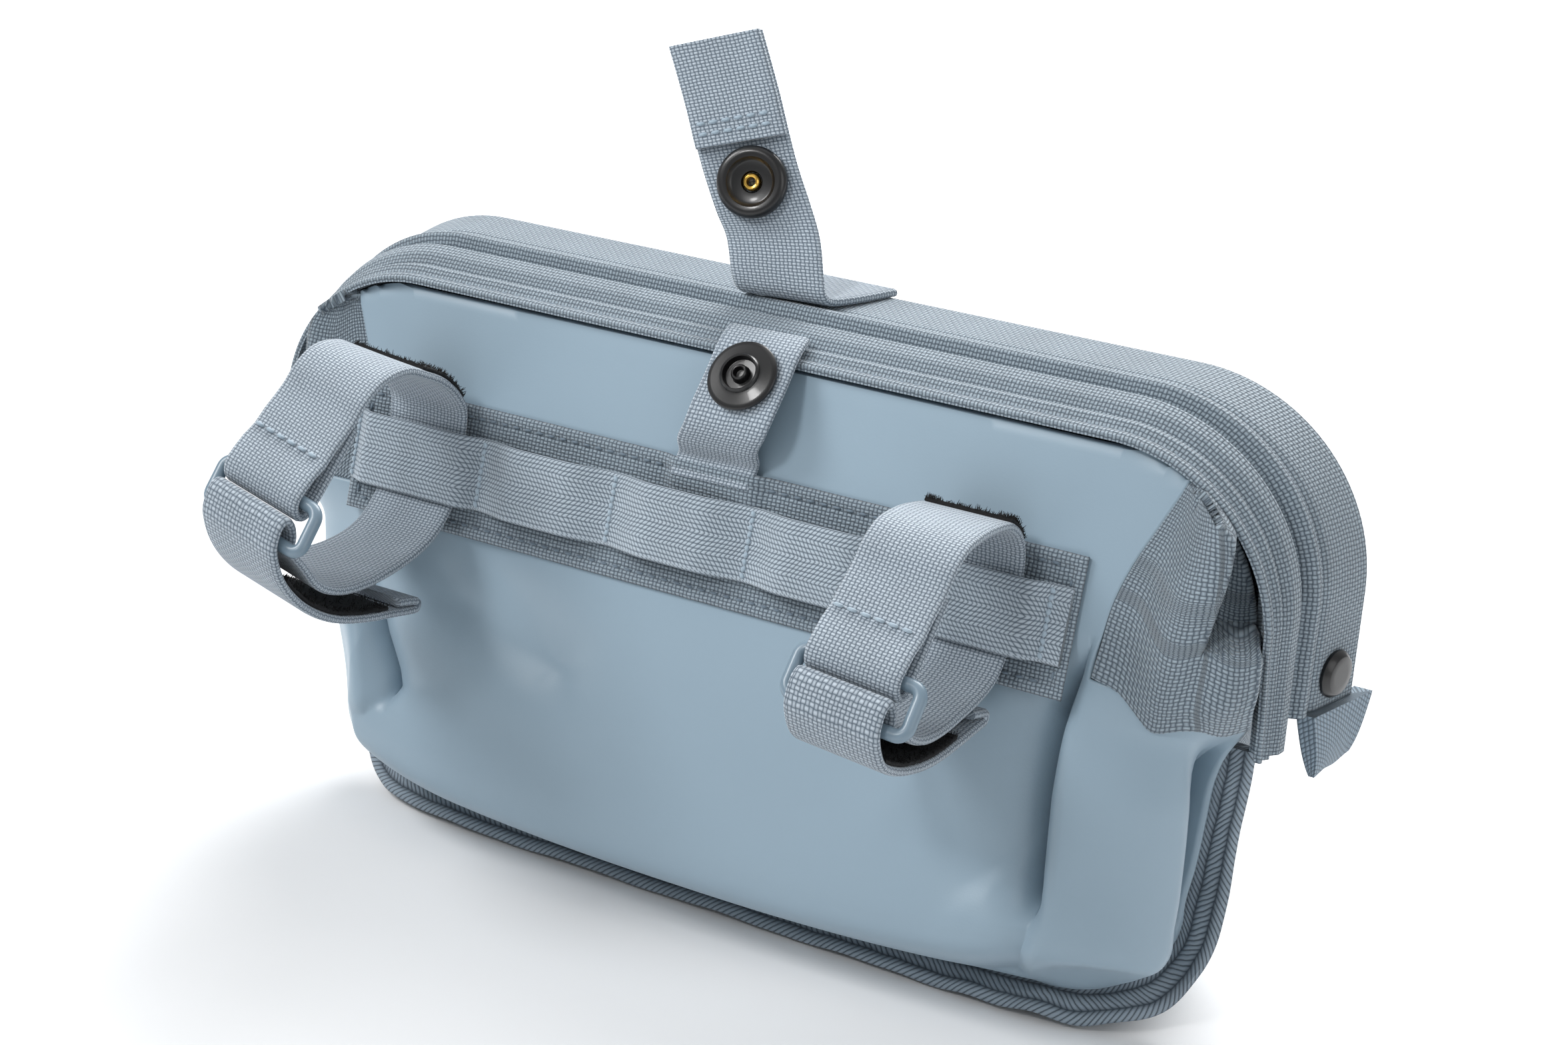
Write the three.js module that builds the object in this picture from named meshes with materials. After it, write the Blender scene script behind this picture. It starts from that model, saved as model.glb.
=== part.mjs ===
// Bicycle handlebar bag with a framed mouth. Millimetres, +Z up, +X along the bag, +Y away from the rider.
// The origin is on the flat bottom that the bag stands on.
import * as THREE from 'three';

// Sizes
const GAP = 0.3; // between any two pieces
const bag = { half: 118.5, height: 126.5, depth: 59, wall: 2, canvas: 1.5, originY: 24 };
const hoop = { corner: 37, rearFoot: 62, frontFoot: 67, seatY: 8.5, mouthGap: 2, lean: 5.2, legLean: 1.2 };
const rearBand = { width: 14, thick: 4, hem: 1.2 };
const frontBand = { width: 22.5, thick: 4.6, flare: 5.2, rise: 1.1 };
const binding = { width: 8, thick: 2.6, seat: 0.6 };
const slope = { tan: 0.2538, zeroZ: 84, zeroY: 2 }; // the back panel leans out going down
const daisy = { centreX: -4.6, length: 173, height: 28.4, thick: 1.6, hem: 2.1, hemWidth: 2.4 };
const webbing = { width: 15.6, thick: 1.3, firstTack: -89.8, pitch: 33.26, loops: 5, ease: 2.2 };
const strap = { width: 20, thick: 1.8, leftX: -72, rightX: 60 };
const ring = { bar: 1.35, reach: 9.6, side: 0.5, corner: 2.2, shift: 0.8, leanOut: 0.46, leanDown: 0.888 };
const fastener = { width: 18, thick: 1.2 };
const snap = { radius: 7.5, height: 2.4, socketLift: 0.8, studLift: 0.3 };
const rivet = { radius: 4.9, height: 1.8, y: 37, z: 73.6 };
const tab = { length: 13, thick: 3.8, rise: 3, from: 0.14, to: 1.1, out: 2.2 };

const COLOURS = { coated: 0x9db0c0, canvas: 0x8c9ba6, web: 0x93a3ae, tape: 0x5d7080, black: 0x1c1d20,
  brass: 0xb08a3c, ring: 0xa9b9c2 };

// Tables, lengths as shares
// Rear half from the panel's top edge to the bottom seam. z, lift and endZ are shares of bag.height;
// corner and endX of bag.half; y, endY and bulge of bag.depth. The end is the leg or the seam.
const REAR = [
  { z: 0.947, y: 0.188, corner: 0.841, lift: -0.005, endX: 0.878, endY: 0.136, endZ: 0.925, bulge: 0.017 },
  { z: 0.893, y: 0.159, corner: 0.819, lift: 0, endX: 0.924, endY: 0.129, endZ: 0.885, bulge: 0.025 },
  { z: 0.838, y: 0.129, corner: 0.792, lift: 0, endX: 0.954, endY: 0.129, endZ: 0.83, bulge: 0.042 },
  { z: 0.775, y: 0.094, corner: 0.761, lift: 0, endX: 0.974, endY: 0.129, endZ: 0.767, bulge: 0.051 },
  { z: 0.711, y: 0.059, corner: 0.74, lift: 0, endX: 0.981, endY: 0.129, endZ: 0.704, bulge: 0.059 },
  { z: 0.648, y: 0.025, corner: 0.732, lift: 0, endX: 0.982, endY: 0.129, endZ: 0.644, bulge: 0.059 },
  { z: 0.593, y: -0.005, corner: 0.727, lift: 0, endX: 0.977, endY: 0.139, endZ: 0.593, bulge: 0.059 },
  { z: 0.549, y: -0.029, corner: 0.722, lift: 0, endX: 0.962, endY: 0.203, endZ: 0.551, bulge: 0.059 },
  { z: 0.49, y: -0.061, corner: 0.717, lift: 0, endX: 0.928, endY: 0.28, endZ: 0.494, bulge: 0.059 },
  { z: 0.411, y: -0.103, corner: 0.722, lift: 0, endX: 0.903, endY: 0.314, endZ: 0.419, bulge: 0.059 },
  { z: 0.332, y: -0.147, corner: 0.73, lift: 0.002, endX: 0.895, endY: 0.319, endZ: 0.344, bulge: 0.059 },
  { z: 0.261, y: -0.185, corner: 0.736, lift: 0.008, endX: 0.888, endY: 0.314, endZ: 0.273, bulge: 0.068 },
  { z: 0.202, y: -0.219, corner: 0.736, lift: 0.024, endX: 0.873, endY: 0.293, endZ: 0.213, bulge: 0.068 },
  { z: 0.154, y: -0.242, corner: 0.73, lift: 0.04, endX: 0.86, endY: 0.264, endZ: 0.166, bulge: 0.068 },
  { z: 0.115, y: -0.241, corner: 0.717, lift: 0.051, endX: 0.835, endY: 0.214, endZ: 0.122, bulge: 0.059 },
  { z: 0.089, y: -0.183, corner: 0.7, lift: 0.043, endX: 0.802, endY: 0.159, endZ: 0.089, bulge: 0.042 },
  { z: 0.07, y: -0.075, corner: 0.679, lift: 0.025, endX: 0.761, endY: 0.108, endZ: 0.069, bulge: 0.025 },
  { z: 0.055, y: 0.059, corner: 0.658, lift: 0.003, endX: 0.713, endY: 0.071, endZ: 0.06, bulge: 0.005 },
];
const GUSSET_ROW = 7; // the wings of the coated piece start at this row, the gussets end there

// Front half from the mouth to the bottom seam, the same shares; three rows are the flat bottom.
const FRONT = [
  { z: 0.957, y: 0.776, corner: 0.624, endX: 0.679, endY: 0.754, endZ: 0.957 },
  { z: 0.942, y: 0.822, corner: 0.785, endX: 0.802, endY: 0.559, endZ: 0.926 },
  { z: 0.889, y: 0.89, corner: 0.893, endX: 0.895, endY: 0.322, endZ: 0.866 },
  { z: 0.798, y: 0.941, corner: 0.925, endX: 0.941, endY: 0.29, endZ: 0.787 },
  { z: 0.696, y: 0.975, corner: 0.895, endX: 0.952, endY: 0.285, endZ: 0.696 },
  { z: 0.601, y: 0.992, corner: 0.869, endX: 0.952, endY: 0.28, endZ: 0.605 },
  { z: 0.538, y: 1, corner: 0.844, endX: 0.941, endY: 0.28, endZ: 0.542 },
  { z: 0.482, y: 1, corner: 0.823, endX: 0.905, endY: 0.353, endZ: 0.482 },
  { z: 0.395, y: 1, corner: 0.802, endX: 0.901, endY: 0.366, endZ: 0.403 },
  { z: 0.3, y: 0.983, corner: 0.776, endX: 0.891, endY: 0.369, endZ: 0.316 },
  { z: 0.213, y: 0.958, corner: 0.751, endX: 0.878, endY: 0.356, endZ: 0.229 },
  { z: 0.134, y: 0.915, corner: 0.726, endX: 0.857, endY: 0.308, endZ: 0.158 },
  { z: 0.071, y: 0.847, corner: 0.7, endX: 0.825, endY: 0.237, endZ: 0.104 },
  { z: 0.024, y: 0.771, corner: 0.683, endX: 0.781, endY: 0.173, endZ: 0.066 },
  { z: 0, y: 0.644, corner: 0.675, endX: 0.743, endY: 0.136, endZ: 0.05 },
  { z: 0, y: 0.441, corner: 0.665, endX: 0.713, endY: 0.119, endZ: 0.043 },
  { z: 0, y: 0.237, corner: 0.654, endX: 0.684, endY: 0.11, endZ: 0.04 },
  { z: 0.037, y: 0.1, corner: 0.641, endX: 0.658, endY: 0.103, endZ: 0.038 },
];
const FLAT_ROWS = [14, 16];

// Root of the bound seam from the right leg to the middle of the bottom, with the way it stands out.
const SEAM = [
  { x: 0.91, y: 0.32, z: 0.485, outX: 1, outY: 0, outZ: 0, ruffle: 0 },
  { x: 0.905, y: 0.336, z: 0.419, outX: 1, outY: 0, outZ: 0, ruffle: 0.1 },
  { x: 0.895, y: 0.341, z: 0.332, outX: 1, outY: 0, outZ: -0.02, ruffle: 0.2 },
  { x: 0.885, y: 0.332, z: 0.253, outX: 0.99, outY: -0.05, outZ: -0.1, ruffle: 0.3 },
  { x: 0.871, y: 0.312, z: 0.198, outX: 0.97, outY: -0.1, outZ: -0.2, ruffle: 0.6 },
  { x: 0.857, y: 0.263, z: 0.139, outX: 0.85, outY: -0.2, outZ: -0.48, ruffle: 1 },
  { x: 0.819, y: 0.192, z: 0.087, outX: 0.65, outY: -0.45, outZ: -0.6, ruffle: 1 },
  { x: 0.768, y: 0.129, z: 0.06, outX: 0.35, outY: -0.75, outZ: -0.55, ruffle: 0.7 },
  { x: 0.692, y: 0.088, z: 0.049, outX: 0.1, outY: -0.86, outZ: -0.5, ruffle: 0.4 },
  { x: 0.506, y: 0.078, z: 0.0445, outX: 0, outY: -0.87, outZ: -0.5, ruffle: 0.4 },
  { x: 0, y: 0.078, z: 0.0445, outX: 0, outY: -0.87, outZ: -0.5, ruffle: 0.4 },
];

// Dents of the back panel: middle at x (share of bag.half), z (of bag.height), long and wide in the same
// shares of bag.half, deep as a share of bag.depth, turned by turn degrees.
const DENTS = [
  { x: -0.15, z: 0.42, long: 0.42, wide: 0.075, deep: 0.03, turn: -28 },
  { x: -0.42, z: 0.46, long: 0.3, wide: 0.06, deep: 0.028, turn: -52 },
  { x: 0.3, z: 0.3, long: 0.4, wide: 0.09, deep: 0.022, turn: 24 },
  { x: 0.52, z: 0.86, long: 0.25, wide: 0.07, deep: 0.014, turn: 38 },
  { x: -0.5, z: 0.84, long: 0.25, wide: 0.07, deep: 0.014, turn: -34 },
];
// Corner crease: depth as a share of bag.depth against height (share of bag.height).
const CREASE = [
  { z: 0, deep: 0 }, { z: 0.13, deep: 0.02 }, { z: 0.22, deep: 0.1 }, { z: 0.34, deep: 0.085 },
  { z: 0.5, deep: 0.05 }, { z: 0.6, deep: 0 }, { z: 1, deep: 0 },
];
// Pocket fold of a gusset: where its edge stands (share of the gusset's width) and its depth.
const POCKET = [
  { z: 0.6, edge: 0.62, deep: 0 }, { z: 0.66, edge: 0.62, deep: 0.004 }, { z: 0.7, edge: 0.64, deep: 0.1 },
  { z: 0.8, edge: 0.72, deep: 0.1 }, { z: 0.88, edge: 0.8, deep: 0.06 }, { z: 0.94, edge: 0.9, deep: 0 },
];

// Closing strap's centre line (x, y, z in shares of bag.height) and the way its width runs.
const CLOSING = [
  { x: 0.044, y: 0.362, z: 1.018, wideX: 1, wideY: 0, wideZ: 0 },
  { x: 0.018, y: 0.285, z: 1.0172, wideX: 1, wideY: 0.04, wideZ: 0 },
  { x: -0.004, y: 0.226, z: 1.0192, wideX: 0.99, wideY: 0.12, wideZ: 0 },
  { x: -0.012, y: 0.207, z: 1.031, wideX: 0.98, wideY: 0.18, wideZ: 0.02 },
  { x: -0.022, y: 0.21, z: 1.056, wideX: 0.97, wideY: 0.24, wideZ: 0.05 },
  { x: -0.043, y: 0.226, z: 1.109, wideX: 0.95, wideY: 0.28, wideZ: 0.1 },
  { x: -0.07, y: 0.233, z: 1.156, wideX: 0.925, wideY: 0.31, wideZ: 0.215 },
  { x: -0.098, y: 0.24, z: 1.205, wideX: 0.92, wideY: 0.31, wideZ: 0.228 },
  { x: -0.121, y: 0.247, z: 1.251, wideX: 0.91, wideY: 0.32, wideZ: 0.26 },
  { x: -0.147, y: 0.256, z: 1.308, wideX: 0.91, wideY: 0.32, wideZ: 0.27 },
  { x: -0.172, y: 0.264, z: 1.358, wideX: 0.91, wideY: 0.32, wideZ: 0.28 },
  { x: -0.197, y: 0.271, z: 1.407, wideX: 0.9, wideY: 0.33, wideZ: 0.28 },
];
const CLOSING_SNAP = 6.7; // row of the table where the socket sits
const CLOSING_DOUBLE = 8; // the end is doubled from this row on

// Stud strap's centre line in shares of bag.height, from the sleeve's top down to the webbing panel.
const STUD = [
  { x: 0.03, y: 0.105, z: 0.987 }, { x: 0.034, y: 0.082, z: 0.981 }, { x: 0.037, y: 0.056, z: 0.966 },
  { x: 0.038, y: 0.024, z: 0.93 }, { x: 0.034, y: -0.008, z: 0.885 }, { x: 0.024, y: -0.012, z: 0.853 },
  { x: 0.006, y: 0.0, z: 0.822 }, { x: -0.002, y: 0.0205, z: 0.794 },
];
const STUD_SNAP = 3; // row where the stud sits

// Ways the lower corners settled: from and to in shares of bag.half, low and high of bag.height, moved in mm.
const SETTLED = [
  { side: -1, from: 0.45, to: 0.95, low: 0.16, high: 0.5, inward: 9, back: 4 },
  { side: 1, from: 0.62, to: 0.85, low: 0.08, high: 0.3, inward: -3, back: 0 },
];

// Handlebar straps' loops, out from the back panel and up along it in mm: the arch, the way back along the
// webbing panel's foot, the free end below it, and the middle of the ring's upper bar.
const LOOPS = {
  left: {
    arch: [
      { out: 42.6, up: 11.5 }, { out: 39.4, up: 16.2 }, { out: 34.5, up: 20.2 }, { out: 27, up: 22 },
      { out: 19.8, up: 20.6 }, { out: 13.6, up: 18.9 }, { out: 8.2, up: 16.2 }, { out: 4.8, up: 13.2 },
    ],
    back: [
      { out: 4.6, up: -9.5 }, { out: 7.2, up: -13.4 }, { out: 11.6, up: -17 }, { out: 19.4, up: -20.4 },
      { out: 29.4, up: -22.8 }, { out: 38, up: -23.2 }, { out: 45.2, up: -21.4 }, { out: 50.4, up: -17.6 },
    ],
    fold: [
      { out: 57.2, up: -19.8 }, { out: 49.6, up: -25.2 }, { out: 39, up: -28.8 }, { out: 29, up: -30.2 },
      { out: 20, up: -30.6 }, { out: 10.5, up: -30.6 },
    ],
    ring: { out: 53.8, up: -4.4 },
  },
  right: {
    arch: [
      { out: 37.2, up: 6.5 }, { out: 34.8, up: 10.8 }, { out: 31, up: 14.2 }, { out: 25, up: 16.3 },
      { out: 18, up: 17.4 }, { out: 12, up: 17.4 }, { out: 7.4, up: 15.4 }, { out: 4.6, up: 12.2 },
    ],
    back: [
      { out: 4.6, up: -9.8 }, { out: 7, up: -13 }, { out: 12, up: -16 }, { out: 18.5, up: -18.4 },
      { out: 26, up: -20.6 }, { out: 33, up: -21.4 }, { out: 39.4, up: -20.4 }, { out: 44, up: -18.4 },
    ],
    fold: [
      { out: 50, up: -24 }, { out: 43.5, up: -26 }, { out: 36, up: -26.6 }, { out: 27.5, up: -26.2 },
      { out: 18, up: -24.2 }, { out: 7.5, up: -21.2 },
    ],
    ring: { out: 47.2, up: -9.2 },
  },
};

// Small maths
const vec = (x, y, z) => new THREE.Vector3(x, y, z);
const smooth = (a, b, x) => THREE.MathUtils.smoothstep(x, a, b);
const mix = THREE.MathUtils.lerp;

/** Values of all columns of a table at a fractional row number, smoothly through the rows. */
function rowAt(table, at) {
  const last = table.length - 1;
  const i = Math.min(Math.max(Math.floor(at), 0), last - 1);
  const t = Math.min(Math.max(at - i, 0), 1);
  const [a, b] = [table[i], table[i + 1]];
  const [before, after] = [table[Math.max(i - 1, 0)], table[Math.min(i + 2, last)]];
  const row = {};
  for (const key of Object.keys(a)) {
    const m0 = i > 0 ? (b[key] - before[key]) / 2 : b[key] - a[key];
    const m1 = i + 2 <= last ? (after[key] - a[key]) / 2 : b[key] - a[key];
    const [t2, t3] = [t * t, t * t * t];
    row[key] = (2 * t3 - 3 * t2 + 1) * a[key] + (t3 - 2 * t2 + t) * m0
      + (3 * t2 - 2 * t3) * b[key] + (t3 - t2) * m1;
  }
  return row;
}

/** Value of one column at a key value, straight between the rows. */
function valueAt(table, key, x, column) {
  let i = 0;
  while (i < table.length - 2 && table[i + 1][key] < x) i += 1;
  const t = (x - table[i][key]) / (table[i + 1][key] - table[i][key]);
  return mix(table[i][column], table[i + 1][column], Math.min(Math.max(t, 0), 1));
}

// Solids from grids
/** Mesh from vertices and quads, turned outward by the sign of its volume. */
function solid(name, vertices, quads, colour, roughness = 0.8, metalness = 0) {
  const triangles = quads.flatMap(([a, b, c, d]) => (d === undefined ? [[a, b, c]] : [[a, b, c], [a, c, d]]));
  const volume = triangles.reduce((sum, [a, b, c]) => sum
    + vertices[a].dot(vertices[b].clone().cross(vertices[c])), 0);
  const faces = volume < 0 ? triangles.map(([a, b, c]) => [a, c, b]) : triangles;
  const geometry = new THREE.BufferGeometry();
  geometry.setAttribute('position', new THREE.Float32BufferAttribute(vertices.flatMap((v) => v.toArray()), 3));
  geometry.setIndex(faces.flat());
  geometry.computeVertexNormals();
  const material = new THREE.MeshStandardMaterial({ color: colour, roughness, metalness });
  const mesh = new THREE.Mesh(geometry, material);
  mesh.name = name;
  return mesh;
}

/** Normals of a grid of points by its neighbours. */
function gridNormals(grid) {
  return grid.map((line, i) => line.map((_, j) => {
    const along = grid[Math.min(i + 1, grid.length - 1)][j].clone().sub(grid[Math.max(i - 1, 0)][j]);
    const across = line[Math.min(j + 1, line.length - 1)].clone().sub(line[Math.max(j - 1, 0)]);
    return along.cross(across).normalize();
  }));
}

/** Sheet between two grids: both faces and a wall round every border of the cells that are kept. */
function sheet(name, outer, inner, colour, keep = () => true, roughness = 0.8) {
  const [rows, columns] = [outer.length, outer[0].length];
  const kept = (i, j) => i >= 0 && j >= 0 && i < rows - 1 && j < columns - 1 && keep(i, j);
  const [vertices, ids, quads] = [[], new Map(), []];
  const id = (side, i, j) => {
    const key = `${side} ${i} ${j}`;
    if (!ids.has(key)) {
      ids.set(key, vertices.length);
      vertices.push((side ? inner : outer)[i][j]);
    }
    return ids.get(key);
  };
  const wall = (i, j, k, l) => quads.push([id(0, i, j), id(1, i, j), id(1, k, l), id(0, k, l)]);
  for (let i = 0; i < rows - 1; i += 1) {
    for (let j = 0; j < columns - 1; j += 1) {
      if (!kept(i, j)) continue;
      quads.push([id(0, i, j), id(0, i + 1, j), id(0, i + 1, j + 1), id(0, i, j + 1)]);
      quads.push([id(1, i, j), id(1, i, j + 1), id(1, i + 1, j + 1), id(1, i + 1, j)]);
      if (!kept(i, j - 1)) wall(i, j, i + 1, j);
      if (!kept(i, j + 1)) wall(i + 1, j + 1, i, j + 1);
      if (!kept(i - 1, j)) wall(i, j + 1, i, j);
      if (!kept(i + 1, j)) wall(i + 1, j, i + 1, j + 1);
    }
  }
  return solid(name, vertices, quads, colour, roughness);
}

/** Sheet of even thickness on the far side of its surface's normals. */
function thickSheet(name, grid, thickness, side, colour, keep, roughness) {
  const normals = gridNormals(grid);
  const inner = grid.map((line, i) => line.map((p, j) => p.clone().addScaledVector(normals[i][j],
    side * thickness)));
  return sheet(name, grid, inner, colour, keep, roughness);
}

/** Strip of cloth along points, its width along one direction at each point. */
function ribbon(name, points, widths, width, thickness, colour, roughness) {
  const outer = [];
  const inner = [];
  points.forEach((p, i) => {
    const ahead = points[Math.min(i + 1, points.length - 1)].clone().sub(points[Math.max(i - 1, 0)]);
    const across = widths[i].clone().normalize();
    const normal = ahead.clone().cross(across).normalize();
    const thick = typeof thickness === 'function' ? thickness(i) : [thickness / 2, thickness / 2];
    const line = (away) => [-0.5, 0.5].map((k) => p.clone().addScaledVector(across, k * width)
      .addScaledVector(normal, away));
    outer.push(line(thick[0]));
    inner.push(line(-thick[1]));
  });
  return sheet(name, outer, inner, colour, undefined, roughness);
}

/** Closed round bar along a closed path. */
function closedTube(name, path, radius, sides, colour) {
  const n = path.length;
  const plane = path[1].clone().sub(path[0]).cross(path[Math.floor(n / 2)].clone().sub(path[0])).normalize();
  const vertices = [];
  path.forEach((p, i) => {
    const ahead = path[(i + 1) % n].clone().sub(path[(i + n - 1) % n]).normalize();
    const out = ahead.clone().cross(plane).normalize();
    for (let k = 0; k < sides; k += 1) {
      const a = (k / sides) * 2 * Math.PI;
      vertices.push(p.clone().addScaledVector(out, radius * Math.cos(a))
        .addScaledVector(plane, radius * Math.sin(a)));
    }
  });
  const quads = [];
  for (let i = 0; i < n; i += 1) {
    for (let k = 0; k < sides; k += 1) {
      const [ni, nk] = [(i + 1) % n, (k + 1) % sides];
      quads.push([i * sides + k, ni * sides + k, ni * sides + nk, i * sides + nk]);
    }
  }
  return solid(name, vertices, quads, colour, 0.35);
}

/** Turned solid of a closed profile [radius, height], its axis along a direction from a point. */
function turned(name, profile, at, axis, colour, roughness, metalness) {
  const segments = 20;
  const turn = new THREE.Quaternion().setFromUnitVectors(vec(0, 0, 1), axis.clone().normalize());
  const vertices = [];
  const rings = profile.map(([r, h]) => {
    const first = vertices.length;
    const count = r === 0 ? 1 : segments;
    for (let k = 0; k < count; k += 1) {
      const a = (k / segments) * 2 * Math.PI;
      vertices.push(vec(r * Math.cos(a), r * Math.sin(a), h).applyQuaternion(turn).add(at));
    }
    return { first, count };
  });
  const quads = [];
  const open = profile[0][0] === 0;
  rings.forEach((ring0, i) => {
    const ring1 = rings[(i + 1) % rings.length];
    if (open && i === rings.length - 1) return;
    for (let k = 0; k < segments; k += 1) {
      const next = (k + 1) % segments;
      const [a, b] = [ring0.first + k % ring0.count, ring0.first + next % ring0.count];
      const [c, d] = [ring1.first + next % ring1.count, ring1.first + k % ring1.count];
      if (ring0.count === 1) quads.push([a, c, d]);
      else if (ring1.count === 1) quads.push([a, b, c]);
      else quads.push([a, b, c, d]);
    }
  });
  return solid(name, vertices, quads, colour, roughness, metalness);
}

// The soft shell
const REAR_SHARES = [0, 0.2, 0.4, 0.6, 0.78, 0.9, 0.965, 1, 1.06, 1.14, 1.26, 1.42, 1.6, 1.8, 2];
const mirrored = (shares) => [...shares.slice(1).reverse().map((s) => -s), ...shares];

/** Depth of the back panel's dents at a point of it. */
function dentDepth(x, z) {
  return DENTS.reduce((sum, dent) => {
    const turn = THREE.MathUtils.degToRad(dent.turn);
    const [dx, dz] = [x - dent.x * bag.half, z - dent.z * bag.height];
    const along = (dx * Math.cos(turn) + dz * Math.sin(turn)) / (dent.long * bag.half);
    const across = (dz * Math.cos(turn) - dx * Math.sin(turn)) / (dent.wide * bag.half);
    return sum + dent.deep * bag.depth * Math.exp(-along * along * 4 - across * across);
  }, 0);
}

/** Moves a point of the rear half inside the hem of the rear sleeve, further where that is thicker. */
function tuckUnderHem(p) {
  const under = rearBand.hem + GAP + 0.7 + 0.7 * Math.max(p.y - hoop.seatY, 0);
  const [dx, dz] = [Math.abs(p.x) - (bag.half - hoop.corner), p.z - (bag.height - hoop.corner)];
  const away = Math.hypot(Math.max(dx, 0), Math.max(dz, 0));
  const nz = away > 0 ? Math.max(dz, 0) / away : 0;
  const room = hoop.corner - mix(hoop.legLean, hoop.lean, nz) - under;
  if (away <= room) return p;
  if (dx > 0) p.x = Math.sign(p.x) * (bag.half - hoop.corner + (dx * room) / away);
  if (dz > 0) p.z = bag.height - hoop.corner + (dz * room) / away;
  return p;
}

/** Moves a point of the shell as its lower corners settled. */
function settled(p) {
  for (const { side, from, to, low, high, inward, back } of SETTLED) {
    const share = smooth(from, to, (side * p.x) / bag.half) * (1 - smooth(low, high, p.z / bag.height));
    p.x -= side * inward * share;
    p.y += back * share;
  }
  return p;
}

/** Outer face of the rear half; s runs 0 to 1 over the panel and 1 to 2 over the wing or gusset. */
function rearPoint(side, s, at) {
  const row = rowAt(REAR, at);
  const lift = row.lift * bag.height;
  const corner = vec(row.corner * bag.half, row.y * bag.depth + 0.8, row.z * bag.height + lift);
  const p = vec(0, 0, 0);
  if (s <= 1) {
    p.set(corner.x * s, row.y * bag.depth + 0.8 * s ** 8, row.z * bag.height + lift * s ** 2.5);
    if (Math.abs(p.z - slope.zeroZ) > daisy.height / 2 + 2) p.y += dentDepth(side * p.x, p.z);
  } else {
    const end = vec(row.endX * bag.half, row.endY * bag.depth, row.endZ * bag.height);
    const chord = end.clone().sub(corner);
    const out = vec(chord.y, -chord.x, 0).normalize();
    p.copy(corner).addScaledVector(chord, s - 1);
    p.addScaledVector(out, row.bulge * bag.depth * Math.sin(Math.PI * (s - 1)) ** 1.2);
  }
  const crease = valueAt(CREASE, 'z', p.z / bag.height, 'deep') * bag.depth;
  p.y += crease * Math.exp(-(((s - 1.06) / 0.09) ** 2));
  p.x *= side;
  return tuckUnderHem(settled(p));
}

/** Outer face of the front half; s runs 0 to 1 over the front and 1 to 2 back along its end. */
function frontPoint(side, s, at) {
  const row = rowAt(FRONT, at);
  const flat = at >= FLAT_ROWS[0] && at <= FLAT_ROWS[1];
  const p = vec(row.corner * bag.half * Math.min(s, 1), row.y * bag.depth, flat ? 0 : row.z * bag.height);
  if (s > 1) {
    const turn = ((s - 1) * Math.PI) / 2;
    const end = vec(row.endX * bag.half, row.endY * bag.depth, row.endZ * bag.height);
    p.x = mix(p.x, end.x, Math.sin(turn));
    p.y = mix(end.y, p.y, Math.cos(turn));
    p.z = mix(p.z, end.z, (1 - Math.cos(turn)) ** 1.2);
  }
  p.x *= side;
  return settled(p);
}

/** Fold of a gusset into its pocket, in mm inward. */
function pocketDepth(s, z) {
  const share = z / bag.height;
  const edge = valueAt(POCKET, 'z', share, 'edge');
  return valueAt(POCKET, 'z', share, 'deep') * bag.depth * smooth(edge - 0.03, edge + 0.08, s - 1);
}

function bodyShell() {
  const shares = mirrored(REAR_SHARES);
  const rows = REAR.map((_, i) => i);
  const grid = rows.map((at) => shares.map((u) => rearPoint(Math.sign(u) || 1, Math.abs(u), at)));
  const wing = (j) => Math.abs(shares[j] + shares[j + 1]) / 2 > 1;
  return thickSheet('body_shell', grid, bag.wall, -1, COLOURS.coated, (i, j) => i >= GUSSET_ROW || !wing(j), 0.6);
}

function frontPanel() {
  const shares = mirrored([0, 0.25, 0.5, 0.75, 0.92, 1, 1.15, 1.3, 1.5, 1.7, 1.88, 2]);
  const grid = FRONT.map((_, at) => shares.map((u) => frontPoint(Math.sign(u) || 1, Math.abs(u), at)));
  const normals = gridNormals(grid);
  const inner = grid.map((line, i) => line.map((p, j) => {
    const q = p.clone().addScaledVector(normals[i][j], bag.wall);
    if (i > FLAT_ROWS[0] && i < FLAT_ROWS[1] && Math.abs(shares[j]) <= 1) q.set(p.x, p.y, bag.wall);
    return q;
  }));
  return sheet('front_panel', grid, inner, COLOURS.canvas);
}

function gusset(name, side) {
  const inset = 0.022;
  const shares = [inset, 0.12, 0.26, 0.4, 0.52, 0.6, 0.66, 0.72, 0.78, 0.84, 0.9, 0.95, 1];
  const rows = Array.from({ length: 15 }, (_, i) => mix(0.15, GUSSET_ROW - 0.07, i / 14));
  const grid = rows.map((at) => shares.map((share) => {
    const p = rearPoint(side, 1 + share, at);
    const deep = pocketDepth(1 + share, p.z);
    p.y += deep;
    p.x -= side * deep * 0.35;
    return tuckUnderHem(p);
  }));
  return thickSheet(name, grid, bag.canvas, -side, COLOURS.canvas);
}

/** Bound seam: root and outer edge at points all round the U. */
function seamLine() {
  const steps = 38;
  const half = [];
  for (let i = 0; i <= steps; i += 1) {
    const row = rowAt(SEAM, (i / steps) ** 0.8 * (SEAM.length - 1));
    const out = vec(row.outX, row.outY, row.outZ).normalize();
    const root = vec(row.x * bag.half, row.y * bag.depth, row.z * bag.height);
    half.push({ root, out, ruffle: row.ruffle });
  }
  const flip = ({ root, out, ruffle }) => ({ root: vec(-root.x, root.y, root.z),
    out: vec(-out.x, out.y, out.z), ruffle });
  return [...half, ...half.slice(0, -1).reverse().map(flip)].map(({ root, out, ruffle }) => ({
    root: settled(root).addScaledVector(out, binding.seat), out, ruffle }));
}

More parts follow.
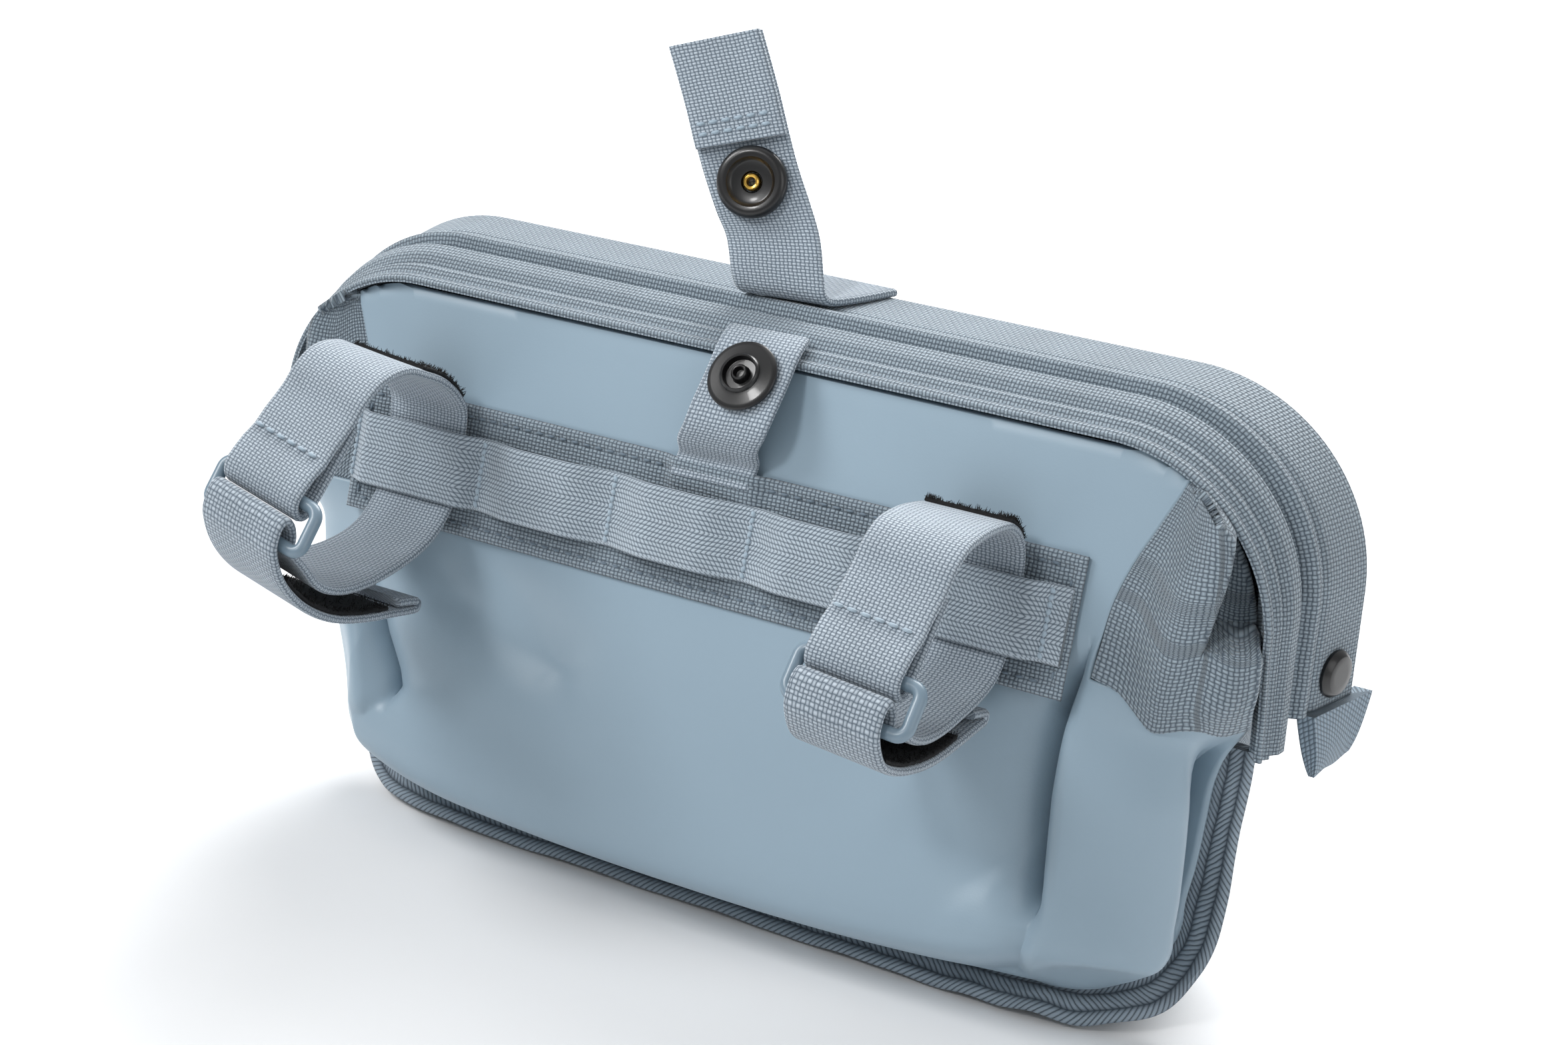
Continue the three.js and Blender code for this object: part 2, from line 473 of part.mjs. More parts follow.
function seamBinding() {
  const line = seamLine();
  let run = 0;
  const outer = [];
  const inner = [];
  line.forEach(({ root, out, ruffle }, i) => {
    const [before, after] = [line[Math.max(i - 1, 0)].root, line[Math.min(i + 1, line.length - 1)].root];
    run += root.distanceTo(before);
    const normal = after.clone().sub(before).cross(out).normalize();
    const sway = 0.9 * ruffle * Math.sin(run / 5.5);
    const lip = root.clone().addScaledVector(out, binding.width).addScaledVector(normal, sway);
    outer.push([root, lip].map((p) => p.clone().addScaledVector(normal, binding.thick / 2)));
    inner.push([root, lip].map((p) => p.clone().addScaledVector(normal, -binding.thick / 2)));
  });
  return sheet('seam_binding', outer, inner, COLOURS.tape);
}

// The mouth frame
/** Points of an inverted U with their outward direction, from the right foot to the left one. */
function hoopLine(half, top, corner, foot) {
  const legs = [0, 0.3, 0.6, 0.85, 1].map((t) => ({ x: half, z: mix(foot, top - corner, t), nx: 1, nz: 0 }));
  const arc = Array.from({ length: 9 }, (_, i) => ((i + 1) / 9) * (Math.PI / 2)).map((a) => ({
    x: half - corner + corner * Math.cos(a), z: top - corner + corner * Math.sin(a),
    nx: Math.cos(a), nz: Math.sin(a) }));
  const bar = [0.25, 0.5, 0.75, 1].map((t) => ({ x: mix(half - corner, 0, t), z: top, nx: 0, nz: 1 }));
  const right = [...legs, ...arc, ...bar];
  const left = right.slice(0, -1).reverse().map((p) => ({ ...p, x: -p.x, nx: -p.nx }));
  return [...right, ...left];
}

/** Band on a hoop. Each column: across (share of its width), out and thick in mm. */
function hoopBand(name, columns, place) {
  const lines = columns.map((column) => place(column));
  const outer = lines[0].map((_, i) => lines.map((line) => line[i].outer));
  const inner = lines[0].map((_, i) => lines.map((line) => line[i].inner));
  return sheet(name, outer, inner, COLOURS.canvas);
}

const rearGapY = hoop.seatY + rearBand.width;
const frontGapY = rearGapY + hoop.mouthGap;

function backFrameSleeve() {
  const columns = [{ across: 0, thick: rearBand.hem, out: 0 }, { across: 0.12, thick: 1.6, out: 0.5 },
    { across: 0.32, thick: 2.6, out: 0.2 }, { across: 0.55, thick: rearBand.thick, out: 0.7 },
    { across: 0.85, thick: rearBand.thick, out: 0.6 }, { across: 1, thick: rearBand.thick - 1, out: -0.5 }];
  return hoopBand('back_frame_sleeve', columns, ({ across, thick, out }) => hoopLine(bag.half, bag.height,
    hoop.corner, hoop.rearFoot).map(({ x, z, nx, nz }) => {
    const drop = mix(hoop.legLean, hoop.lean, nz) * (1 - across);
    const narrow = 3.5 * (1 - across) * (1 - smooth(hoop.rearFoot, hoop.rearFoot + 30, z));
    const at = (away) => vec(x + nx * away, hoop.seatY + rearBand.width * across + narrow, z + nz * away);
    return { outer: at(out - drop), inner: at(out - drop - thick) };
  }));
}

function frontFrameSleeve() {
  const columns = [{ across: 0, out: -1.3 }, { across: 0.05, out: 0.5 }, { across: 0.13, out: 1 },
    { across: 0.21, out: 0.6 }, { across: 0.27, out: -0.4 }, { across: 0.4, out: 0.1 },
    { across: 0.75, out: 0.2 }, { across: 0.94, out: 0 }, { across: 1, out: -1.2 }];
  return hoopBand('front_frame_sleeve', columns, ({ across, out }) => hoopLine(
    bag.half + frontBand.flare * across, bag.height + frontBand.rise * across, hoop.corner + 2 * across,
    hoop.frontFoot).map(({ x, z, nx, nz }) => {
    const at = (away) => vec(x + nx * away, frontGapY + frontBand.width * across, z + nz * away);
    return { outer: at(out), inner: at(-frontBand.thick) };
  }));
}

/** Middle and outward direction of the front leg's face at a place along Y. */
function legFace(side, y, z) {
  const across = (y - frontGapY) / frontBand.width;
  return { at: vec(side * (bag.half + frontBand.flare * across + 0.2), y, z),
    normal: vec(side * frontBand.width, -frontBand.flare, 0).normalize() };
}

function frameRivet(name, side) {
  const { at, normal } = legFace(side, rivet.y, rivet.z);
  const profile = [[0, GAP], [rivet.radius, GAP], [rivet.radius, 0.9], [rivet.radius - 1, rivet.height + GAP],
    [0, rivet.height + GAP]];
  return turned(name, profile, at, normal, COLOURS.black, 0.3, 0.2);
}

function endTab(name, side) {
  const top = hoop.frontFoot - GAP;
  const rows = [0, 0.5, 0.9, 1].map((t) => ({ z: top - tab.length * t, thick: mix(tab.thick, 2.4, t ** 2) }));
  const outer = [];
  const inner = [];
  rows.forEach(({ z, thick }) => {
    const line = (away) => [tab.from, 0.35, 0.8, tab.to].map((across) => {
      const middle = bag.half + frontBand.flare * across - frontBand.thick / 2 + tab.out;
      const rise = tab.rise * across * ((top - z) / tab.length);
      return vec(side * (middle + away), frontGapY + frontBand.width * across, z + rise);
    });
    outer.push(line(thick / 2));
    inner.push(line(-thick / 2));
  });
  return sheet(name, outer, inner, COLOURS.tape);
}

// Snap straps
/** Point and width direction of the closing strap at a fractional row. */
function closingAt(at) {
  const row = rowAt(CLOSING, at);
  return { p: vec(row.x, row.y, row.z).multiplyScalar(bag.height), wide: vec(row.wideX, row.wideY, row.wideZ) };
}

function closingStrap() {
  const steps = (CLOSING.length - 1) * 3;
  const rows = Array.from({ length: steps + 1 }, (_, i) => (i / steps) * (CLOSING.length - 1));
  const line = rows.map(closingAt);
  const double = (i) => (rows[i] >= CLOSING_DOUBLE ? strap.thick * 1.6 : strap.thick / 2);
  return ribbon('closing_strap', line.map(({ p }) => p), line.map(({ wide }) => wide), strap.width,
    (i) => [strap.thick / 2, double(i)], COLOURS.web);
}

/** Face of a strap at a row: a point on it and its outward direction toward the rider. */
function strapFace(line, at, lift) {
  const [a, b] = [line(at - 0.3), line(at + 0.3)];
  const normal = b.p.clone().sub(a.p).cross(line(at).wide).normalize();
  if (normal.y > 0) normal.negate();
  return { at: line(at).p.clone().addScaledVector(normal, strap.thick / 2 + GAP + lift), normal };
}

function snapSocket() {
  const { at, normal } = strapFace(closingAt, CLOSING_SNAP, snap.socketLift);
  const { radius, height } = snap;
  const profile = [[2.1, 0], [radius, 0], [radius, height * 0.6], [radius - 0.8, height], [radius - 2, height],
    [radius - 3.2, height * 0.45], [2.1, height * 0.4]];
  const eyelet = [[0.8, 0], [1.8, 0], [1.8, height * 0.6], [1.3, height * 0.75], [0.8, height * 0.6]];
  return [turned('snap_socket', profile, at, normal, COLOURS.black, 0.3, 0.2),
    turned('socket_eyelet', eyelet, at, normal, COLOURS.brass, 0.3, 1)];
}

function studAt(at) {
  const row = rowAt(STUD, at);
  return { p: vec(row.x, row.y, row.z).multiplyScalar(bag.height), wide: vec(1, 0, 0.02) };
}

function studStrap() {
  const steps = (STUD.length - 1) * 3;
  const rows = Array.from({ length: steps + 1 }, (_, i) => (i / steps) * (STUD.length - 1));
  const line = rows.map(studAt);
  return ribbon('stud_strap', line.map(({ p }) => p), line.map(({ wide }) => wide), strap.width - 1,
    strap.thick, COLOURS.web);
}

function snapStud() {
  const { at, normal } = strapFace(studAt, STUD_SNAP, snap.studLift);
  const { radius, height } = snap;
  const profile = [[0, 0], [radius, 0], [radius, height * 0.5], [radius - 0.7, height * 0.8],
    [radius - 2.2, height * 0.8], [radius - 3.6, height * 0.4], [2.2, height * 0.4], [1.9, height * 1.3],
    [1, height * 1.3], [0.8, height * 0.9], [0, height * 0.9]];
  return turned('snap_stud', profile, at, normal, COLOURS.black, 0.3, 0.2);
}

// Webbing panel
const lean = Math.atan(slope.tan);
const upSlope = vec(0, Math.sin(lean), Math.cos(lean));
const offSlope = vec(0, -Math.cos(lean), Math.sin(lean));

/** Place on the leaning back panel: along x, out from its face, up along it. */
function onPanel(x, out, up) {
  return vec(x, slope.zeroY, slope.zeroZ).addScaledVector(offSlope, out).addScaledVector(upSlope, up);
}

function daisyPanel() {
  const ends = [-0.5, -0.5 + daisy.hemWidth / daisy.length, 0.5 - daisy.hemWidth / daisy.length, 0.5];
  const up = [-0.5, -0.5 + daisy.hemWidth / daisy.height, 0.5 - daisy.hemWidth / daisy.height, 0.5];
  const line = (out) => (share, i, all) => {
    const x = daisy.centreX + share * daisy.length;
    return up.map((u, j) => {
      const hem = i === 0 || j === 0 || i === all.length - 1 || j === up.length - 1;
      return onPanel(x, out === 0 ? GAP : GAP + (hem ? daisy.hem : daisy.thick), u * daisy.height);
    });
  };
  return sheet('daisy_panel', ends.map(line(1)), ends.map(line(0)), COLOURS.canvas);
}

const webSeat = 2 * GAP + daisy.thick + webbing.thick / 2;
const strapSeat = 2 * GAP + daisy.hem + strap.thick / 2;
const webOverStrap = strapSeat + strap.thick / 2 + GAP + webbing.thick / 2;

/** How far the webbing's middle stands off the panel at x. */
function webbingOff(x) {
  const loop = Math.floor((x - webbing.firstTack) / webbing.pitch);
  if (loop < 0 || loop >= webbing.loops) return webSeat;
  const t = (x - webbing.firstTack) / webbing.pitch - loop;
  const holds = loop === 0 || loop === webbing.loops - 1;
  const rise = holds ? webOverStrap + 0.15 - webSeat : webbing.ease;
  return webSeat + rise * smooth(0, holds ? 0.14 : 0.4, Math.min(t, 1 - t));
}

function daisyWebbing() {
  const start = daisy.centreX - daisy.length / 2 + 1;
  const end = webbing.firstTack + webbing.loops * webbing.pitch + 4;
  const xs = [start];
  for (let loop = 0; loop < webbing.loops; loop += 1) {
    for (const t of [0, 0.05, 0.1, 0.14, 0.25, 0.38, 0.5, 0.62, 0.75, 0.86, 0.9, 0.95]) {
      xs.push(webbing.firstTack + (loop + t) * webbing.pitch);
    }
  }
  xs.push(webbing.firstTack + webbing.loops * webbing.pitch, end);
  return ribbon('daisy_webbing', xs.map((x) => onPanel(x, webbingOff(x), 0)), xs.map(() => upSlope),
    webbing.width, webbing.thick, COLOURS.web);
}

// Handlebar straps
/** Middles of the ring's two bars in side view. */
function ringBars(loop) {
  const upper = [loop.ring.out, loop.ring.up];
  return { upper, lower: [upper[0] + ring.leanOut * ring.reach, upper[1] - ring.leanDown * ring.reach] };
}

/** Points on an arc round a bar in side view, angles in degrees from the out axis toward up. */
function wrap([out, up], radius, from, to) {
  const count = 6;
  return Array.from({ length: count + 1 }, (_, i) => {
    const a = THREE.MathUtils.degToRad(mix(from, to, i / count));
    return [out + radius * Math.cos(a), up + radius * Math.sin(a)];
  });
}

/** Side view of the whole strap, in its order along the webbing. */
function strapPath(loop) {
  const { upper, lower } = ringBars(loop);
  const radius = ring.bar + GAP + strap.thick / 2;
  const [arch, back, fold] = [loop.arch, loop.back, loop.fold].map((rows) => rows.map(({ out, up }) => [out, up]));
  const [stitchOut, stitchUp] = arch[0];
  const toward = Math.atan2(stitchUp - upper[1], stitchOut - upper[0]);
  const under = strap.thick + GAP;
  const innerEnd = [stitchOut - under * Math.sin(toward), stitchUp + under * Math.cos(toward)];
  const degrees = THREE.MathUtils.radToDeg(toward);
  const first = [innerEnd, ...wrap(upper, radius, degrees + 90, degrees + 270)];
  const panelRun = [9, 3, -3, -7].map((up) => [strapSeat, up]);
  const around = wrap(lower, radius, 190, -20);
  const end = fold[fold.length - 1];
  const hem = (strap.thick + GAP) / 2;
  const tip = wrap([end[0], end[1] + hem], hem, -90, -270).slice(1);
  const tail = [end[0] + 6, end[1] + 2 * hem + 0.2];
  return { first, arch, panelRun, back, around, fold, tip, tail };
}

const STRAP_STEPS = 2; // points of the line between two points of the route

/** Centre line of a strap at one x, and the numbers of its points at the start of each section. */
function strapLine(x, loop) {
  const path = strapPath(loop);
  const sections = [path.first, path.arch, path.panelRun, path.back, path.around, path.fold, path.tip];
  const starts = sections.map((_, i) => sections.slice(0, i).flat().length * STRAP_STEPS);
  const places = [...sections.flat(), path.tail].map(([out, up]) => onPanel(x, out, up));
  const curve = new THREE.CatmullRomCurve3(places, false, 'centripetal');
  return { line: curve.getPoints((places.length - 1) * STRAP_STEPS), archStart: starts[1], foldStart: starts[5] };
}

function handlebarStrap(name, x, loop) {
  const { line } = strapLine(x, loop);
  return ribbon(name, line, line.map(() => vec(1, 0, 0)), strap.width, strap.thick, COLOURS.web);
}

/** Fastener strip on the left side of the strap's line from one of its points to another. */
function fastenerStrip(name, line, first, last) {
  const away = strap.thick / 2 + GAP + fastener.thick / 2;
  const points = [];
  for (let i = first; i <= last; i += 1) {
    const ahead = line[i + 1].clone().sub(line[i - 1]);
    points.push(line[i].clone().addScaledVector(ahead.cross(vec(1, 0, 0)).normalize(), -away));
  }
  return ribbon(name, points, points.map(() => vec(1, 0, 0)), fastener.width, fastener.thick, COLOURS.black);
}

function strapRing(name, x, loop) {
  const { upper, lower } = ringBars(loop);
  const halfLong = strap.width / 2 + ring.shift + ring.side + ring.bar;
  const [a, b] = [upper, lower].map((at) => onPanel(x + ring.shift, ...at));
  const middle = a.clone().add(b).multiplyScalar(0.5);
  const short = b.clone().sub(a).normalize();
  const halfShort = ring.reach / 2;
  const path = [];
  for (const [sx, sy] of [[1, 1], [-1, 1], [-1, -1], [1, -1]]) {
    for (let k = 0; k <= 3; k += 1) {
      const t = (k / 3) * (Math.PI / 2);
      const [ca, cb] = sx * sy > 0 ? [Math.cos(t), Math.sin(t)] : [Math.sin(t), Math.cos(t)];
      path.push(middle.clone()
        .add(vec(sx * (halfLong - ring.corner + ring.corner * ca), 0, 0))
        .addScaledVector(short, sy * (halfShort - ring.corner + ring.corner * cb)));
    }
  }
  return closedTube(name, path, ring.bar, 10, COLOURS.ring);
}

// Assembly
const group = new THREE.Group();
group.name = 'handlebar_bag';
group.add(bodyShell(), frontPanel(), gusset('gusset_left', -1), gusset('gusset_right', 1), seamBinding());
group.add(backFrameSleeve(), frontFrameSleeve());
group.add(closingStrap(), ...snapSocket(), studStrap(), snapStud(), daisyPanel(), daisyWebbing());
for (const [word, side, x] of [['left', -1, strap.leftX], ['right', 1, strap.rightX]]) {
  const loop = LOOPS[word];
  const { line, archStart, foldStart } = strapLine(x, loop);
  group.add(frameRivet(`rivet_${word}`, side), endTab(`end_tab_${word}`, side));
  group.add(handlebarStrap(`strap_${word}`, x, loop), strapRing(`strap_ring_${word}`, x, loop));
  group.add(fastenerStrip(`loop_patch_${word}`, line, archStart + 6, archStart + 13));
  group.add(fastenerStrip(`hook_patch_${word}`, line, foldStart + 2, foldStart + 7));
}
group.position.set(0, -bag.originY, 0);
export default group;
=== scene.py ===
"""Bicycle handlebar bag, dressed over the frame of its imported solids.

Lengths are in millimetres in the bag's own frame until a mesh is finished: +X along the bag, +Y away
from the rider, +Z up. Meshes are stored in metres.
"""

import logging
import math
import random
from dataclasses import dataclass
from enum import Enum
from typing import Callable, Iterable, Sequence

import bmesh
import bpy
from mathutils import Matrix, Vector, noise


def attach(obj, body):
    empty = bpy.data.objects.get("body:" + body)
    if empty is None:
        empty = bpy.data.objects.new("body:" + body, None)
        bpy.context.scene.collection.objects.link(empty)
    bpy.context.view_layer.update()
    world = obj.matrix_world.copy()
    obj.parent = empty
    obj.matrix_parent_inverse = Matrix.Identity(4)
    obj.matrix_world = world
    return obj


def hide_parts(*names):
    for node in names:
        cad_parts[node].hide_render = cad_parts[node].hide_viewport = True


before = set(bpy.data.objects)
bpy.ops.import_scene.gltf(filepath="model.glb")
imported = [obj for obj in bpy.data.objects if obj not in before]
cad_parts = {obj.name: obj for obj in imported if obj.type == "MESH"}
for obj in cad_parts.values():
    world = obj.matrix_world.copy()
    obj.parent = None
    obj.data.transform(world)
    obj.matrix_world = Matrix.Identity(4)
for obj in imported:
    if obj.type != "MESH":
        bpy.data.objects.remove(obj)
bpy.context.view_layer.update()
log = logging.getLogger("handlebar_bag")

MM = 0.001
GAP = 0.3  # between any two pieces
HALF, HEIGHT, DEPTH = 118.5, 126.5, 59.0  # the bag's half length, height to the mouth, depth
ORIGIN_Y = 24.0  # the origin's distance in front of the tables' zero
STRAP_WIDTH, STRAP_THICK = 20.0, 1.8
STRAP_COLUMNS = 10  # points across each face of a strap
UV_START = 40.0  # every pattern starts this far from the corner of its cloth
RIGHT, UP = Vector((1, 0, 0)), Vector((0, 0, 1))
SIDES = ((-1, "left"), (1, "right"))

Place = Callable[[float, float], Vector]
Point2 = tuple[float, float]
Point3 = tuple[float, float, float]
Station = tuple[float, float, float, float]
Socket = bpy.types.NodeSocket


# Small maths
def mix(a: float, b: float, t: float) -> float:
    """Value between a and b at share t."""
    return a + (b - a) * t


def smooth(a: float, b: float, x: float) -> float:
    """Smooth step from 0 at a to 1 at b, a below b."""
    t = min(max((x - a) / (b - a), 0.0), 1.0)
    return t * t * (3 - 2 * t)


def bump(x: float, middle: float, width: float) -> float:
    """Bell of height 1 about a middle."""
    return math.exp(-(((x - middle) / width) ** 2))


def spread(start: float, end: float, count: int) -> list[float]:
    """Evenly spaced values, both ends in."""
    return [mix(start, end, i / (count - 1)) for i in range(count)]


def merged(*runs: Iterable[float]) -> list[float]:
    """Sorted values of several runs, near doubles taken out."""
    values = sorted(v for run in runs for v in run)
    return [v for i, v in enumerate(values) if i == 0 or v - values[i - 1] > 1e-6]


@dataclass(frozen=True)
class Table:
    """Rows of numbers read smoothly between the rows; every column has its own scale."""

    rows: Sequence[Sequence[float]]
    scale: Sequence[float]

    def at(self, place: float) -> tuple[float, ...]:
        """Values of all columns.

        Args:
            place: fractional row number, held inside the table.

        Returns:
            One number for each column, scaled.
        """
        last = len(self.rows) - 1
        i = min(max(int(math.floor(place)), 0), last - 1)
        t = min(max(place - i, 0.0), 1.0)
        a, b = self.rows[i], self.rows[i + 1]
        before, after = self.rows[max(i - 1, 0)], self.rows[min(i + 2, last)]
        values = []
        for k, scale in enumerate(self.scale):
            m0 = (b[k] - before[k]) / 2 if i > 0 else b[k] - a[k]
            m1 = (after[k] - a[k]) / 2 if i + 2 <= last else b[k] - a[k]
            t2, t3 = t * t, t * t * t
            values.append(scale * ((2 * t3 - 3 * t2 + 1) * a[k] + (t3 - 2 * t2 + t) * m0
                                   + (3 * t2 - 2 * t3) * b[k] + (t3 - t2) * m1))
        return tuple(values)

    def straight(self, x: float, column: int) -> float:
        """Value of a column, straight between the rows and unscaled.

        Args:
            x: value of the first column.
            column: which column to read.

        Returns:
            The value, held inside the table.
        """
        i = 0
        while i < len(self.rows) - 2 and self.rows[i + 1][0] < x:
            i += 1
        a, b = self.rows[i], self.rows[i + 1]
        return mix(a[column], b[column], min(max((x - a[0]) / (b[0] - a[0]), 0.0), 1.0))


def curve_through(points: Sequence[Vector], steps: int) -> list[Vector]:
    """Smooth line through points, tighter where they stand closer.

    Args:
        points: places that the line passes.
        steps: points of the line for each stretch.

    Returns:
        The points of the line, both ends in.
    """
    ends = [points[0] * 2 - points[1], *points, points[-1] * 2 - points[-2]]
    line = []
    for i in range(len(points) - 1):
        p = ends[i:i + 4]
        knots = [0.0]
        for a, b in zip(p, p[1:]):
            knots.append(knots[-1] + max((b - a).length, 1e-6) ** 0.5)
        for k in range(steps):
            t = mix(knots[1], knots[2], k / steps)
            first = [p[j] + (p[j + 1] - p[j]) * ((t - knots[j]) / (knots[j + 1] - knots[j]))
                     for j in range(3)]
            second = [first[j] + (first[j + 1] - first[j]) * ((t - knots[j]) / (knots[j + 2] - knots[j]))
                      for j in range(2)]
            line.append(second[0] + (second[1] - second[0]) * ((t - knots[1]) / (knots[2] - knots[1])))
    return [*line, points[-1].copy()]


# Finishes
def linear(code: str) -> tuple[float, float, float, float]:
    """Linear colour of an sRGB hex value."""
    parts = [int(code[i:i + 2], 16) / 255 for i in (1, 3, 5)]
    return (*[c / 12.92 if c <= 0.04045 else ((c + 0.055) / 1.055) ** 2.4 for c in parts], 1.0)


def add(tree: bpy.types.NodeTree, kind: str, links: dict | None = None,
        **settings: object) -> bpy.types.Node:
    """Adds a node.

    Args:
        tree: the material's nodes.
        kind: the node's class name.
        links: input name or number to a socket that feeds it, or to its constant.
        **settings: the node's own properties.

    Returns:
        The new node.
    """
    node = tree.nodes.new(kind)
    for key, value in settings.items():
        setattr(node, key, value)
    for key, value in (links or {}).items():
        if isinstance(value, Socket):
            tree.links.new(value, node.inputs[key])
        else:
            node.inputs[key].default_value = value
    return node


def bare_material(name: str) -> bpy.types.Material:
    """Material with no nodes yet."""
    made = bpy.data.materials.new(name)
    made.use_nodes = True
    made.node_tree.nodes.clear()
    return made


class Weave(Enum):
    """How the yarns of a cloth cross."""

    PLAIN = "plain"
    CHEVRON = "chevron"


@dataclass(frozen=True)
class WovenFinish:
    """Woven cloth or webbing; its pattern lies on the piece's UV map, whose unit is a millimetre.

    pitch is the spacing of the yarns, and relief their height. column is the width after which a chevron
    turns, and yarn the width of the pads that its ribs are broken into. slant is a plain weave's spacing
    along as a share of its pitch, or the slope of a chevron's ribs. contrast spreads the two colours.
    """

    name: str
    slot: str
    weave: Weave
    light: str
    dark: str
    pitch: float
    column: float = 1.0
    relief: float = 0.2
    roughness: float = 0.75
    sheen: float = 0.25
    slant: float = 1.0
    contrast: float = 1.3
    yarn: float = 0.95

    def material(self) -> bpy.types.Material:
        """Material of the cloth, made once."""
        found = bpy.data.materials.get(self.name)
        if found:
            return found
        made = bare_material(self.name)
        tree = made.node_tree
        uv = add(tree, "ShaderNodeUVMap", uv_map="cloth")
        wander = add(tree, "ShaderNodeTexNoise", {"Vector": uv.outputs[0], "Scale": 0.22, "Detail": 2.0})
        drift = add(tree, "ShaderNodeMath", {0: wander.outputs[0], 1: 0.5 * self.pitch},
                    operation="MULTIPLY")
        apart = add(tree, "ShaderNodeSeparateXYZ", {0: uv.outputs[0]})
        across = add(tree, "ShaderNodeMath", {0: apart.outputs[0], 1: drift.outputs[0]}, operation="ADD")
        along = add(tree, "ShaderNodeMath", {0: apart.outputs[1], 1: drift.outputs[0]}, operation="ADD")
        draw = self._plain if self.weave is Weave.PLAIN else self._chevron
        height = draw(tree, across.outputs[0], along.outputs[0])
        # Colour from the yarns' height: partly the yarns' own two tones, partly painted light, with a
        # painted highlight on the raised pads and painted shade in the gaps between them.
        relief_light_and_shade = add(tree, "ShaderNodeMath", {0: height, 1: self.contrast, 2: -0.1},
                   operation="MULTIPLY_ADD", use_clamp=True).outputs[0]
        colour = add(tree, "ShaderNodeMix", {0: relief_light_and_shade, 6: linear(self.dark), 7: linear(self.light)},
                     data_type="RGBA")
        mottle = add(tree, "ShaderNodeTexNoise", {"Vector": uv.outputs[0], "Scale": 0.09, "Detail": 3.0})
        shade = add(tree, "ShaderNodeMapRange", {0: mottle.outputs[0], 1: 0.3, 2: 0.7, 3: 0.93, 4: 1.05})
        worn = add(tree, "ShaderNodeVectorMath", {0: colour.outputs[2], 1: shade.outputs[0]},
                   operation="MULTIPLY")
        raised = add(tree, "ShaderNodeBump", {"Strength": 0.9, "Distance": self.relief * MM,
                                              "Height": height})
        skin = add(tree, "ShaderNodeBsdfPrincipled", {
            "Base Color": worn.outputs[0], "Roughness": self.roughness, "Sheen Weight": self.sheen,
            "Sheen Roughness": 0.5, "Specular IOR Level": 0.35, "Normal": raised.outputs[0]})
        add(tree, "ShaderNodeOutputMaterial", {0: skin.outputs[0]})
        return made

    def _plain(self, tree: bpy.types.NodeTree, across: Socket, along: Socket) -> Socket:
        """Plain weave: each yarn shows as a rounded pad, over and under in turn.

        Args:
            tree: the material's nodes.
            across: place across the cloth in mm.
            along: place along it.

        Returns:
            Height of the cloth, 0 to 1.
        """
        a = add(tree, "ShaderNodeMath", {0: across, 1: self.pitch}, operation="DIVIDE").outputs[0]
        b = add(tree, "ShaderNodeMath", {0: along, 1: self.pitch * self.slant},
                operation="DIVIDE").outputs[0]
        cells = add(tree, "ShaderNodeMath", {
            0: add(tree, "ShaderNodeMath", {0: a}, operation="FLOOR").outputs[0],
            1: add(tree, "ShaderNodeMath", {0: b}, operation="FLOOR").outputs[0]}, operation="ADD")
        over = add(tree, "ShaderNodeMath", {0: cells.outputs[0], 1: 2.0},
                   operation="FLOORED_MODULO").outputs[0]
        pads = []
        for place, most, least in ((a, -0.7, 1.0), (b, 0.7, 0.3)):
            arch = self._arch(tree, place)
            full = add(tree, "ShaderNodeMath", {0: over, 1: most, 2: least}, operation="MULTIPLY_ADD")
            pads.append(add(tree, "ShaderNodeMath", {0: arch, 1: full.outputs[0]},
                            operation="POWER").outputs[0])
        pad = add(tree, "ShaderNodeMath", {0: pads[0], 1: pads[1]}, operation="MULTIPLY").outputs[0]
        rise = add(tree, "ShaderNodeMath", {0: over, 1: 0.25, 2: 0.75}, operation="MULTIPLY_ADD").outputs[0]
        return add(tree, "ShaderNodeMath", {0: pad, 1: rise}, operation="MULTIPLY").outputs[0]

    def _chevron(self, tree: bpy.types.NodeTree, across: Socket, along: Socket) -> Socket:
        """Twill whose ribs turn at every column, as in webbing and tape.

        Args:
            tree: the material's nodes.
            across: place across the cloth in mm.
            along: place along it.

        Returns:
            Height of the cloth, 0 to 1.
        """
        a = add(tree, "ShaderNodeMath", {0: across, 1: self.column}, operation="DIVIDE").outputs[0]
        b = add(tree, "ShaderNodeMath", {0: along, 1: self.pitch}, operation="DIVIDE").outputs[0]
        zig = add(tree, "ShaderNodeMath", {0: a, 1: 1.0}, operation="PINGPONG").outputs[0]
        phase = add(tree, "ShaderNodeMath", {0: zig, 1: self.slant * self.column / self.pitch, 2: b},
                    operation="MULTIPLY_ADD").outputs[0]
        yarns = add(tree, "ShaderNodeMath", {0: across, 1: self.yarn}, operation="DIVIDE").outputs[0]
        stroke = add(tree, "ShaderNodeMath", {0: self._arch(tree, phase), 1: self._arch(tree, yarns)},
                     operation="MULTIPLY").outputs[0]
        return add(tree, "ShaderNodeMath", {0: stroke, 1: 0.6}, operation="POWER").outputs[0]

    @staticmethod
    def _arch(tree: bpy.types.NodeTree, place: Socket) -> Socket:
        """Row of arches, one for each whole number that the place runs through."""
        part = add(tree, "ShaderNodeMath", {0: place}, operation="FRACT")
        turn = add(tree, "ShaderNodeMath", {0: part.outputs[0], 1: math.pi}, operation="MULTIPLY")
        return add(tree, "ShaderNodeMath", {0: turn.outputs[0]}, operation="SINE").outputs[0]


